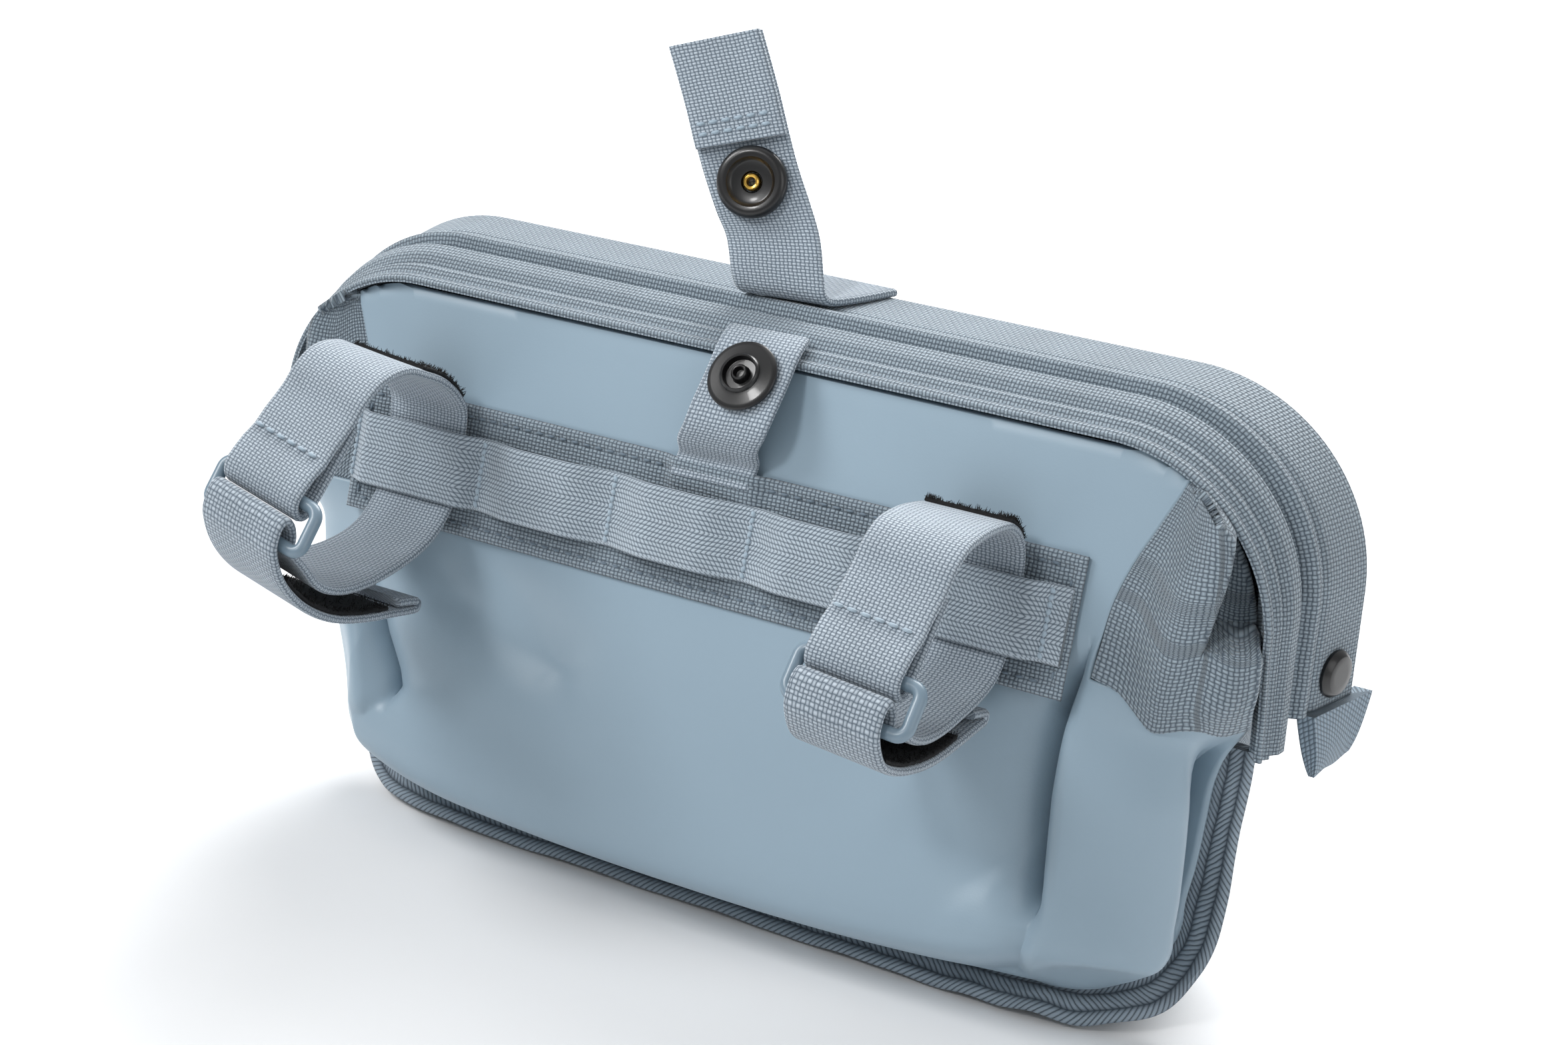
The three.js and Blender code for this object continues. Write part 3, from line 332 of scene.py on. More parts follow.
@dataclass(frozen=True)
class PlainFinish:
    """Smooth or napped finish, broken by a fine grain on Object coordinates.

    grain and relief are the grain's size and height in mm, and patches the size of the areas that drift
    between the two close colours.
    """

    name: str
    slot: str
    light: str
    dark: str
    grain: float
    relief: float
    roughness: float
    metallic: float = 0.0
    sheen: float = 0.0
    coat: float = 0.0
    patches: float = 40.0

    def material(self) -> bpy.types.Material:
        """Material of the finish, made once."""
        found = bpy.data.materials.get(self.name)
        if found:
            return found
        made = bare_material(self.name)
        tree = made.node_tree
        place = add(tree, "ShaderNodeTexCoord")
        cloud = add(tree, "ShaderNodeTexNoise", {"Vector": place.outputs["Object"],
                                                 "Scale": 1 / (self.patches * MM), "Detail": 3.0})
        colour = add(tree, "ShaderNodeMix", {0: cloud.outputs[0], 6: linear(self.dark),
                                             7: linear(self.light)}, data_type="RGBA")
        fine = add(tree, "ShaderNodeTexNoise", {"Vector": place.outputs["Object"],
                                                "Scale": 1 / (self.grain * MM), "Detail": 4.0})
        raised = add(tree, "ShaderNodeBump", {"Strength": 0.6, "Distance": self.relief * MM,
                                              "Height": fine.outputs[0]})
        skin = add(tree, "ShaderNodeBsdfPrincipled", {
            "Base Color": colour.outputs[2], "Roughness": self.roughness, "Metallic": self.metallic,
            "Sheen Weight": self.sheen, "Coat Weight": self.coat, "Normal": raised.outputs[0]})
        add(tree, "ShaderNodeOutputMaterial", {0: skin.outputs[0]})
        return made


Finish = WovenFinish | PlainFinish

# Polyurethane-coated plain weave: a matt skin with a soft broad highlight and hardly any grain.
COATED = PlainFinish("coated_tarpaulin", "coated_fabric", "#8b9fad", "#8599a7", grain=0.5, relief=0.03,
                     roughness=0.42, sheen=0.05, patches=55.0)
# Coarse 1680 denier nylon, plain woven, yarns 0.95 mm apart: each yarn catches the light as a small pad.
CANVAS = WovenFinish("coarse_nylon_canvas", "canvas", Weave.PLAIN, "#93a1ab", "#44515d", pitch=0.95,
                     relief=0.3, slant=0.85, contrast=1.25)
# Nylon webbing, plain woven with yarns 0.9 mm apart (the real 0.7 mm, drawn coarser to stay clear).
WEBBING = WovenFinish("nylon_webbing", "webbing", Weave.PLAIN, "#b0bbc5", "#53616e", pitch=0.9,
                      slant=0.8, contrast=1.25)
# Narrow nylon webbing in a twill that turns every 4 mm: pads in slanting rows.
NARROW_WEB = WovenFinish("nylon_narrow_webbing", "webbing", Weave.CHEVRON, "#aab6c0", "#4f5d6a", pitch=0.95,
                         column=4.0, slant=0.75)
# Herringbone binding tape, darker than the rest, ribs 1.4 mm apart in columns of 3.6 mm.
TAPE = WovenFinish("herringbone_tape", "binding_tape", Weave.CHEVRON, "#84919c", "#2c3741", pitch=1.4,
                   column=3.6, relief=0.25, yarn=3.6)
# Twill-ribbed tape folded at the feet, its ribs all slant one way: the same binding tape as TAPE, drawn
# paler with painted light.
LIT_FOOT_TAPE = WovenFinish("foot_tape_painted_light", "binding_tape", Weave.CHEVRON, "#8294a2", "#485764", pitch=1.0,
                        column=30.0, slant=0.7)
# Bonded nylon sewing thread: light rope-like stitches on the webbing, dark ones sunk into the canvas.
THREAD = PlainFinish("sewing_thread", "webbing", "#a3b3bf", "#8496a4", grain=0.3, relief=0.05,
                     roughness=0.6, sheen=0.2)
SUNK_THREAD = PlainFinish("sunk_sewing_thread", "canvas", "#6d7d8a", "#51616e", grain=0.3, relief=0.05,
                          roughness=0.6, sheen=0.2)
# Steel snap parts, stove-lacquered black: soft but clear reflections.
LACQUER = PlainFinish("black_lacquered_steel", "black_snap", "#0c0c0e", "#080809", grain=0.6, relief=0.01,
                      roughness=0.34, coat=0.15)
# Turned brass eyelet, bare.
BRASS = PlainFinish("turned_brass", "brass_eyelet", "#d9b25c", "#c49a44", grain=0.4, relief=0.01,
                    roughness=0.25, metallic=1.0)
# Injection-moulded acetal ring: pale, smooth, half gloss.
ACETAL = PlainFinish("moulded_acetal", "ring_plastic", "#738694", "#6b7f8d", grain=0.8, relief=0.01,
                     roughness=0.32, coat=0.1)
# Napped nylon fastener tape: black loops that swallow the light.
NAP = PlainFinish("napped_fastener", "fastener_fabric", "#0d0d0f", "#040405", grain=0.7, relief=0.4,
                  roughness=0.9)


# Mesh making
def finish_object(name: str, bm: bmesh.types.BMesh, finish: Finish, replaces: Sequence[str] = (),
                  sharp: float = 50.0) -> bpy.types.Object:
    """Puts a bmesh, in mm of the bag's frame, into the scene.

    Args:
        name: the piece's name.
        bm: its mesh, freed here.
        finish: what it is made of.
        replaces: CAD nodes that it stands for.
        sharp: edges turned more than this many degrees stay sharp.

    Returns:
        The piece, riding on the root body.
    """
    for vert in bm.verts:
        vert.co = Vector((vert.co.x, vert.co.y - ORIGIN_Y, vert.co.z)) * MM
    for face in bm.faces:
        face.smooth = True
    mesh = bpy.data.meshes.new(name)
    bm.to_mesh(mesh)
    bm.free()
    mesh.set_sharp_from_angle(angle=math.radians(sharp))
    piece = bpy.data.objects.new(name, mesh)
    bpy.context.scene.collection.objects.link(piece)
    mesh.materials.append(finish.material())
    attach(piece, "root")
    if replaces:
        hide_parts(*replaces)
    log.info("%s: %d faces", name, len(mesh.polygons))
    return piece


def run_lengths(points: Sequence[Vector]) -> list[float]:
    """Length of a line up to each of its points."""
    runs = [0.0]
    for a, b in zip(points, points[1:]):
        runs.append(runs[-1] + (b - a).length)
    return runs


def ahead_at(line: Sequence[Vector], i: int) -> Vector:
    """Way along a line at one of its points, from its two neighbours."""
    return line[min(i + 1, len(line) - 1)] - line[max(i - 1, 0)]


def grid_mesh(us: Sequence[float], vs: Sequence[float], place: Place,
              keep: Callable[[float, float], bool] | None = None, close: bool = False) -> bmesh.types.BMesh:
    """Grid laid over a surface, with a UV map in millimetres.

    Args:
        us: values across the surface.
        vs: values along it.
        place: the surface, from those values to mm.
        keep: which cells stay, by the values at their middle.
        close: joins edges that meet.

    Returns:
        The mesh.
    """
    bm = bmesh.new()
    nu, nv = len(us) - 1, len(vs) - 1
    bmesh.ops.create_grid(bm, x_segments=nu, y_segments=nv, size=0.5)
    points = [[place(u, v) for v in vs] for u in us]
    middle_u, middle_v = len(us) // 2, len(vs) // 2
    across = run_lengths([line[middle_v] for line in points])
    along = run_lengths(points[middle_u])
    layer = bm.loops.layers.uv.new("cloth")
    cell = {vert: (round((vert.co.x + 0.5) * nu), round((vert.co.y + 0.5) * nv)) for vert in bm.verts}
    for face in bm.faces:
        for loop in face.loops:
            i, j = cell[loop.vert]
            loop[layer].uv = (across[i] + UV_START, along[j] + UV_START)
    if keep:
        gone = []
        for face in bm.faces:
            corners = [cell[vert] for vert in face.verts]
            u = sum(us[i] for i, _ in corners) / 4
            v = sum(vs[j] for _, j in corners) / 4
            if not keep(u, v):
                gone.append(face)
        bmesh.ops.delete(bm, geom=gone, context="FACES")
    for vert in bm.verts:
        i, j = cell[vert]
        vert.co = points[i][j]
    if close:
        bmesh.ops.remove_doubles(bm, verts=bm.verts, dist=0.002)
    return bm


def cap_ends(bm: bmesh.types.BMesh) -> None:
    """Closes the open ends of a tube and points its faces outward."""
    edges = [edge for edge in bm.edges if edge.is_boundary]
    bmesh.ops.holes_fill(bm, edges=edges, sides=0)
    bmesh.ops.recalc_face_normals(bm, faces=bm.faces)


def tube_mesh(rounds: int, stations: int, place: Callable[[int, int], Vector]) -> bmesh.types.BMesh:
    """Solid of sections along a line, its ends closed.

    Args:
        rounds: points of each section, the first again at the end.
        stations: number of sections.
        place: point in mm, from its number in the section and the section's number.

    Returns:
        The closed mesh, its faces outward.
    """
    bm = grid_mesh(range(rounds), range(stations), place, close=True)
    cap_ends(bm)
    return bm


def add_thickness(piece: bpy.types.Object, thickness: float) -> None:
    """Gives a sheet its thickness in mm, behind its faces."""
    wall = piece.modifiers.new("cloth_thickness", "SOLIDIFY")
    wall.thickness = thickness * MM
    wall.offset = -1
    wall.use_even_offset = False


def face_toward(bm: bmesh.types.BMesh, direction: Vector) -> None:
    """Turns a whole sheet so that its faces look along a direction on the average."""
    total = Vector()
    for face in bm.faces:
        total += face.normal * face.calc_area()
    if total.dot(direction) < 0:
        bmesh.ops.reverse_faces(bm, faces=bm.faces)


def webbing_section(width: float, thick: float, columns: int = STRAP_COLUMNS) -> list[Point2]:
    """Outline of a strap's cross-section with round edges.

    Args:
        width: of the strap in mm.
        thick: its thickness.
        columns: points across each face.

    Returns:
        Points (across, out) in mm, the first again at the end.
    """
    r = thick / 2
    flat = width / 2 - r
    half = [(a, r) for a in spread(-flat, flat, columns)]
    half += [(flat + r * math.cos(t), r * math.sin(t)) for t in (math.pi / 4, 0.0, -math.pi / 4)]
    return [*half, *((-a, -out) for a, out in half), half[0]]


def strap_mesh(line: Sequence[Vector], wides: Sequence[Vector], section: Sequence[Point2],
               lift: Callable[[float, float], float] | None = None) -> bmesh.types.BMesh:
    """Webbing laid along a line.

    Args:
        line: middle of the webbing.
        wides: direction of its width at each point.
        section: closed outline of its cross-section.
        lift: extra distance outward, from the place across and along.

    Returns:
        A closed mesh whose UV runs across and along the webbing.
    """
    runs = run_lengths(line)
    normals = [ahead_at(line, i).cross(wide).normalized() for i, wide in enumerate(wides)]

    def place(u: int, v: int) -> Vector:
        """Point u of the section at station v."""
        across, out = section[u]
        extra = lift(across, runs[v]) if lift else 0.0
        return line[v] + wides[v].normalized() * across + normals[v] * (out + extra)

    return tube_mesh(len(section), len(line), place)


def turned_mesh(profile: Sequence[Point2], at: Vector, axis: Vector, steps: int = 40) -> bmesh.types.BMesh:
    """Solid turned from a profile.

    Args:
        profile: points (radius, height) in mm; it closes by itself where it starts off the axis.
        at: where the height is 0.
        axis: way of the height.
        steps: faces round it.

    Returns:
        The mesh in its place, its faces outward.
    """
    bm = bmesh.new()
    verts = [bm.verts.new((radius, 0.0, height)) for radius, height in profile]
    edges = [bm.edges.new(pair) for pair in zip(verts, verts[1:])]
    if profile[0][0] > 0:
        edges.append(bm.edges.new((verts[-1], verts[0])))
    bmesh.ops.spin(bm, geom=[*verts, *edges], cent=(0, 0, 0), axis=(0, 0, 1), angle=2 * math.pi,
                   steps=steps, use_merge=True, use_duplicate=False)
    bmesh.ops.remove_doubles(bm, verts=bm.verts, dist=0.001)
    bmesh.ops.recalc_face_normals(bm, faces=bm.faces)
    turn = UP.rotation_difference(axis).to_matrix().to_4x4()
    bmesh.ops.transform(bm, matrix=Matrix.Translation(at) @ turn, verts=bm.verts)
    return bm


@dataclass
class Seam:
    """Row of stitches: short sunk ovals of thread, their length, spacing, width and height in mm."""

    name: str
    length: float = 2.1
    space: float = 0.9
    width: float = 0.62
    height: float = 0.5
    finish: PlainFinish = THREAD

    def build(self, lines: Sequence[tuple[Sequence[Vector], Sequence[Vector]]]) -> bpy.types.Object:
        """Sews along lines.

        Args:
            lines: for each row its points and the outward direction at each.

        Returns:
            The thread, one piece.
        """
        bm = bmesh.new()
        for points, outs in lines:
            runs = run_lengths(points)
            at = self.space
            while at + self.length < runs[-1]:
                start, out = self._along(points, outs, runs, at)
                end, _ = self._along(points, outs, runs, at + self.length)
                self._stitch(bm, start, end, out)
                at += self.length + self.space
        return finish_object(self.name, bm, self.finish, sharp=180.0)

    @staticmethod
    def _along(points: Sequence[Vector], outs: Sequence[Vector], runs: Sequence[float],
               at: float) -> tuple[Vector, Vector]:
        """Reads a line at a length along it.

        Args:
            points: points of the line.
            outs: outward direction at each.
            runs: length of the line up to each.
            at: length to read at.

        Returns:
            The point and its outward direction.
        """
        i = 0
        while i < len(runs) - 2 and runs[i + 1] < at:
            i += 1
        t = (at - runs[i]) / max(runs[i + 1] - runs[i], 1e-6)
        return points[i].lerp(points[i + 1], t), outs[i].lerp(outs[i + 1], t).normalized()

    def _stitch(self, bm: bmesh.types.BMesh, start: Vector, end: Vector, out: Vector) -> None:
        """Adds one stitch.

        Args:
            bm: mesh of the whole seam.
            start: where the thread comes up.
            end: where it goes down.
            out: outward direction of the cloth.
        """
        along = (end - start).normalized()
        across = along.cross(out).normalized()
        out = across.cross(along)
        turn = Matrix((across, along, out)).transposed().to_4x4()
        size = Matrix.Diagonal((self.width / 2, self.length / 2, self.height / 2, 1))
        bmesh.ops.create_icosphere(bm, subdivisions=1, radius=1.0,
                                   matrix=Matrix.Translation((start + end) / 2) @ turn @ size)


# Rows of the rear half from the mouth down, as shares of the bag like those of the solids: z and y of the
# panel, x of its corner and the corner's lift, x, y and z of the wing's end, and the wing's bulge
REAR = Table((
    (0.947, 0.188, 0.841, -0.005, 0.878, 0.136, 0.925, 0.017),
    (0.893, 0.159, 0.819, 0, 0.924, 0.129, 0.885, 0.025),
    (0.838, 0.129, 0.792, 0, 0.954, 0.129, 0.83, 0.042),
    (0.775, 0.094, 0.761, 0, 0.974, 0.129, 0.767, 0.051),
    (0.711, 0.059, 0.74, 0, 0.981, 0.129, 0.704, 0.059),
    (0.648, 0.025, 0.732, 0, 0.982, 0.129, 0.644, 0.059),
    (0.593, -0.005, 0.727, 0, 0.977, 0.139, 0.593, 0.059),
    (0.549, -0.029, 0.722, 0, 0.962, 0.203, 0.551, 0.059),
    (0.49, -0.061, 0.717, 0, 0.928, 0.28, 0.494, 0.059),
    (0.411, -0.103, 0.722, 0, 0.903, 0.314, 0.419, 0.059),
    (0.332, -0.147, 0.73, 0.002, 0.895, 0.319, 0.344, 0.059),
    (0.261, -0.185, 0.736, 0.008, 0.888, 0.314, 0.273, 0.068),
    (0.202, -0.219, 0.736, 0.024, 0.873, 0.293, 0.213, 0.068),
    (0.154, -0.242, 0.73, 0.04, 0.86, 0.264, 0.166, 0.068),
    (0.115, -0.241, 0.717, 0.051, 0.835, 0.214, 0.122, 0.059),
    (0.089, -0.183, 0.7, 0.043, 0.802, 0.159, 0.089, 0.042),
    (0.07, -0.075, 0.679, 0.025, 0.761, 0.108, 0.069, 0.025),
    (0.055, 0.059, 0.658, 0.003, 0.713, 0.071, 0.06, 0.005),
), (HEIGHT, DEPTH, HALF, HEIGHT, HALF, DEPTH, HEIGHT, DEPTH))
COATED_FROM = 6  # row from which the coated cloth covers the wings, under the gussets

# Rows of the front half: z and y of the front, x of its corner, and x, y and z of its end
FRONT = Table((
    (0.957, 0.776, 0.624, 0.679, 0.754, 0.957), (0.942, 0.822, 0.785, 0.802, 0.559, 0.926),
    (0.889, 0.89, 0.893, 0.895, 0.322, 0.866), (0.798, 0.941, 0.925, 0.941, 0.29, 0.787),
    (0.696, 0.975, 0.895, 0.952, 0.285, 0.696), (0.601, 0.992, 0.869, 0.952, 0.28, 0.605),
    (0.538, 1, 0.844, 0.941, 0.28, 0.542), (0.482, 1, 0.823, 0.905, 0.353, 0.482),
    (0.395, 1, 0.802, 0.901, 0.366, 0.403), (0.3, 0.983, 0.776, 0.891, 0.369, 0.316),
    (0.213, 0.958, 0.751, 0.878, 0.356, 0.229), (0.134, 0.915, 0.726, 0.857, 0.308, 0.158),
    (0.071, 0.847, 0.7, 0.825, 0.237, 0.104), (0.024, 0.771, 0.683, 0.781, 0.173, 0.066),
    (0, 0.644, 0.675, 0.743, 0.136, 0.05), (0, 0.441, 0.665, 0.713, 0.119, 0.043),
    (0, 0.237, 0.654, 0.684, 0.11, 0.04), (0.037, 0.1, 0.641, 0.658, 0.103, 0.038),
), (HEIGHT, DEPTH, HALF, HALF, DEPTH, HEIGHT))
FLAT_ROWS = (14, 16)  # rows of the flat bottom

# Bound seam from the right end to the middle: x, y, z of its root, its way out x, y, z, and its ruffle
SEAM = Table((
    (0.91, 0.32, 0.485, 1, 0, 0, 0), (0.905, 0.336, 0.419, 1, 0, 0, 0.1),
    (0.895, 0.341, 0.332, 1, 0, -0.02, 0.2), (0.885, 0.332, 0.253, 0.99, -0.05, -0.1, 0.3),
    (0.871, 0.312, 0.198, 0.97, -0.1, -0.2, 0.6), (0.857, 0.263, 0.139, 0.85, -0.2, -0.48, 1),
    (0.819, 0.192, 0.087, 0.65, -0.45, -0.6, 1), (0.768, 0.129, 0.06, 0.35, -0.75, -0.55, 0.7),
    (0.692, 0.088, 0.049, 0.1, -0.86, -0.5, 0.4), (0.506, 0.078, 0.0445, 0, -0.87, -0.5, 0.4),
    (0, 0.078, 0.0445, 0, -0.87, -0.5, 0.4),
), (HALF, DEPTH, HEIGHT, 1, 1, 1, 1))

# How the lower corners settled: side, from and to of HALF, low and high of HEIGHT, mm inward and back
SETTLED = ((-1, 0.45, 0.95, 0.16, 0.5, 9.0, 4.0), (1, 0.62, 0.85, 0.08, 0.3, -3.0, 0.0))
# Tape folded over the seam: mm along its way out and across it, round the section
TAPE_SECTION = ((0.0, 1.3), (1.5, 1.45), (3.0, 1.35), (5.5, 1.2), (7.3, 1.2), (8.3, 0.95), (8.9, 0.0),
                (8.3, -0.95), (7.3, -1.2), (5.5, -1.2), (3.0, -1.35), (1.5, -1.45), (0.0, -1.3), (0.0, 1.3))
# Pocket fold of a gusset: height, place of the fold's edge across the gusset, and depth, as shares
POCKET = Table(((0.6, 0.6, 0), (0.675, 0.62, 0), (0.695, 0.64, 0.15), (0.74, 0.67, 0.16), (0.8, 0.73, 0.15),
                (0.87, 0.8, 0.12), (0.93, 0.88, 0.06), (0.96, 0.9, 0)), (1, 1, 1))


@dataclass(frozen=True)
class Fold:
    """Crease pressed into the coated cloth; a negative depth makes a ridge.

    Its points are mm beyond the panel's corner (less than 0 toward the middle) and mm of height. before and
    after are its widths toward the middle and toward the wing, and a smaller power makes it sharper.
    """

    side: int
    points: tuple[Point2, ...]
    deep: float
    before: float
    after: float
    power: float = 1.6

    def depth(self, beyond: float, height: float) -> float:
        """Reads the crease at a place of the cloth.

        Args:
            beyond: mm beyond the panel's corner.
            height: mm above the bottom.

        Returns:
            Depth in mm.
        """
        best, signed, share = 1e9, 0.0, 0.0
        count = len(self.points) - 1
        for i, ((ax, az), (bx, bz)) in enumerate(zip(self.points, self.points[1:])):
            dx, dz = bx - ax, bz - az
            t = min(max(((beyond - ax) * dx + (height - az) * dz) / (dx * dx + dz * dz), 0.0), 1.0)
            ox, oz = beyond - ax - dx * t, height - az - dz * t
            away = math.hypot(ox, oz)
            if away < best:
                best, share = away, (i + t) / count
                signed = ox * dz - oz * dx
        width = self.before if signed > 0 else self.after
        fade = smooth(0.0, 0.3, share) * smooth(0.0, 0.14, 1 - share)
        return self.deep * fade * math.exp(-((best / width) ** self.power))


FOLDS = (
    Fold(1, ((-1.0, 84.0), (-3.2, 68.0), (-4.0, 51.0), (-3.8, 37.0), (-3.2, 25.0)), 17.0, 3.7, 0.8, 0.85),
    Fold(1, ((-6.0, 32.0), (-4.2, 26.0), (-3.2, 20.0), (-2.8, 10.0)), 3.4, 5.5, 3.0, 1.6),
    Fold(1, ((-36.0, 46.0), (-22.0, 40.0), (-12.0, 32.0)), 1.4, 10.0, 10.0, 2.0),
    Fold(-1, ((0.5, 62.0), (0.0, 50.0), (-4.0, 42.0), (-9.0, 35.0), (-12.0, 28.0)), 8.5, 5.5, 2.0, 1.1),
    Fold(-1, ((5.0, 60.0), (3.0, 46.0), (-1.0, 36.0), (-4.0, 26.0)), -2.2, 3.0, 5.0),
    Fold(-1, ((-16.0, 69.0), (-22.4, 58.0), (-39.6, 51.0), (-67.0, 43.0)), 2.6, 9.0, 6.0, 1.8),
    Fold(-1, ((-23.0, 70.0), (-44.7, 58.0), (-56.0, 44.0)), 1.8, 7.0, 6.0, 1.8),
)

SLOPE_TAN, SLOPE_Z, SLOPE_Y = 0.2538, 84.0, 2.0  # the back panel leans out going down from this line
LEAN = math.atan(SLOPE_TAN)
UP_SLOPE = Vector((0, math.sin(LEAN), math.cos(LEAN)))
OFF_SLOPE = Vector((0, -math.cos(LEAN), math.sin(LEAN)))


def on_panel(x: float, out: float, up: float) -> Vector:
    """Place on the leaning back panel: along x, out from its face, up along it."""
    return Vector((x, SLOPE_Y, SLOPE_Z)) + OFF_SLOPE * out + UP_SLOPE * up


@dataclass
class Hoop:
    """The mouth's inverted U, and the bands of cloth that sleeve its two frames, in mm."""

    corner: float = 37.0
    rear_foot: float = 62.0
    front_foot: float = 67.0
    seat_y: float = 8.5
    mouth_gap: float = 2.0
    lean: float = 5.2
    leg_lean: float = 1.2
    rear_width: float = 14.0
    rear_thick: float = 4.0
    hem: float = 1.2
    front_width: float = 22.5
    front_thick: float = 4.6
    flare: float = 5.2
    rise: float = 1.1

    @property
    def front_y(self) -> float:
        """Where the front band starts."""
        return self.seat_y + self.rear_width + self.mouth_gap

    @staticmethod
    def line(half: float, top: float, corner: float, foot: float) -> list[Station]:
        """Lays out one U.

        Args:
            half: x of its right leg.
            top: z of its top.
            corner: radius of its corners.
            foot: z of its feet.

        Returns:
            Points x, z with their outward direction, from the right foot to the left one.
        """
        right = [(half, mix(foot, top - corner, t), 1.0, 0.0) for t in spread(0, 1, 22)]
        for a in spread(0, math.pi / 2, 30)[1:]:
            right.append((half - corner + corner * math.cos(a), top - corner + corner * math.sin(a),
                          math.cos(a), math.sin(a)))
        right += [(mix(half - corner, 0, t), top, 0.0, 1.0) for t in spread(0, 1, 30)[1:]]
        return [*right, *((-x, z, -nx, nz) for x, z, nx, nz in reversed(right[:-1]))]


HOOP = Hoop()


@dataclass
class Shell:
    """Coated rear half, canvas front and gussets, and the bound seam between them."""

    wall: float = 1.3
    canvas: float = 1.1
    edge_ease: float = 0.8  # how far the panel's corners fall back
    foot_lift: float = 3.0  # how far the wings' bottoms are raised
    tape_depth: float = 0.6  # how far the tape reaches in behind the seam's root

    def build(self) -> None:
        """Makes all the shell's pieces."""
        self.coated_body()
        self.front()
        for side, word in SIDES:
            self.gusset(side, word)
        self.binding()

    @staticmethod
    def settle(p: Vector) -> Vector:
        """Moves a point as the lower corners settled."""
        for side, start, end, low, high, inward, back in SETTLED:
            share = smooth(start, end, side * p.x / HALF) * (1 - smooth(low, high, p.z / HEIGHT))
            p.x -= side * inward * share
            p.y += back * share
        return p

    @staticmethod
    def wing_swell(side: int, beyond: float, sink: float) -> float:
        """How far a wing stands out over its chord: full to an edge, then sunk beside the seam.

        Args:
            side: 1 right, -1 left.
            beyond: share of the wing's width, from the panel's corner.
            sink: how far the recess is there, 0 to 1.

        Returns:
            Distance in mm.
        """
        top, edge = (9.6, 0.62) if side > 0 else (6.4, 0.55)
        rise = math.sin(min(beyond / edge, 1.0) * math.pi / 2) ** 1.1
        fall = (1 + 0.75 * sink) * smooth(edge, edge + mix(0.38, 0.22, sink), beyond)
        return top * (rise * (1 - fall) + 0.75 * sink * smooth(0.9, 1.0, beyond))

    @staticmethod
    def tuck(p: Vector) -> Vector:
        """Keeps a point inside the hem of the rear sleeve, by moving it toward the mouth's middle."""
        under = HOOP.hem + 0.1 + 0.7 * max(p.y - HOOP.seat_y, 0)
        dx, dz = abs(p.x) - (HALF - HOOP.corner), p.z - (HEIGHT - HOOP.corner)
        away = math.hypot(max(dx, 0), max(dz, 0))
        nz = max(dz, 0) / away if away > 0 else 0.0
        room = HOOP.corner - mix(HOOP.leg_lean, HOOP.lean, nz) - under
        if away <= room:
            return p
        if dx > 0:
            p.x = math.copysign(HALF - HOOP.corner + dx * room / away, p.x)
        if dz > 0:
            p.z = HEIGHT - HOOP.corner + dz * room / away
        return p

    def rear_point(self, side: int, s: float, at: float) -> Vector:
        """Outer face of the rear half.

        Args:
            side: 1 right, -1 left.
            s: 0 to 1 over the panel, 1 to 2 over the wing or gusset.
            at: row of the table.

        Returns:
            The point in mm.
        """
        z, y, corner_x, lift, end_x, end_y, end_z, bulge = REAR.at(at)
        corner = Vector((corner_x, y + self.edge_ease, z + lift))
        chord = Vector((end_x, end_y, end_z)) - corner
        beyond = max(s - 1, 0)
        across = Vector((-chord.y, chord.x, 0)).normalized()
        inward = Vector((0, 1, 0)).lerp(across, smooth(0.0, 0.5, beyond))
        if s <= 1:
            p = Vector((corner_x * s, y + self.edge_ease * s ** 8, z + lift * s ** 2.5))
            run = (s - 1) * corner_x
        else:
            out = Vector((chord.y, -chord.x, 0)).normalized()
            plain = bulge * math.sin(math.pi * beyond ** 1.35) ** 1.2
            boxed = smooth(7.2, 9.2, at) * (1 - smooth(13.5, 15.5, at))
            sink = 1 - smooth(11.6, 13.4, at)
            p = corner + chord * beyond + out * mix(plain, self.wing_swell(side, beyond, sink), boxed)
            p.z += self.foot_lift * math.sin(math.pi * min(beyond / 0.8, 1.0)) * bump(at, 14.6, 1.1)
            run = beyond * chord.length
        for fold in FOLDS:
            if fold.side == side:
                p += inward * fold.depth(run, p.z)
        p.x *= side
        return self.tuck(self.settle(p))

    def coated_body(self) -> None:
        """Back panel with its wings and its rounded bottom."""
        half = merged(spread(0, 0.84, 43), spread(0.84, 0.94, 12), spread(0.94, 1.2, 40),
                      spread(1.2, 2, 36))
        us = [*(-s for s in reversed(half[1:])), *half]
        vs = merged(spread(0, 6, 25), spread(6, 12, 49), spread(12, 17, 48))

        def place(u: float, v: float) -> Vector:
            """Surface of the coated piece."""
            return self.rear_point(1 if u >= 0 else -1, abs(u), v)

        bm = grid_mesh(us, vs, place, lambda u, v: abs(u) < 1 or v > COATED_FROM)
        face_toward(bm, Vector((0, -1, 0)))
        piece = finish_object("coated_body", bm, COATED, ["body_shell"])
        add_thickness(piece, self.wall)

    def front_point(self, side: int, s: float, at: float) -> Vector:
        """Outer face of the front half.

        Args:
            side: 1 right, -1 left.
            s: 0 to 1 over the front, 1 to 2 back along its end.
            at: row of the table.

        Returns:
            The point in mm.
        """
        z, y, corner, end_x, end_y, end_z = FRONT.at(at)
        flat = FLAT_ROWS[0] <= at <= FLAT_ROWS[1]
        p = Vector((corner * min(s, 1), y, 0 if flat else max(z, 0)))
        if s > 1:
            turn = (s - 1) * math.pi / 2
            p.x = mix(p.x, end_x, math.sin(turn))
            p.y = mix(end_y, p.y, math.cos(turn))
            p.z = mix(p.z, end_z, (1 - math.cos(turn)) ** 1.2)
        p.x *= side
        return self.settle(p)

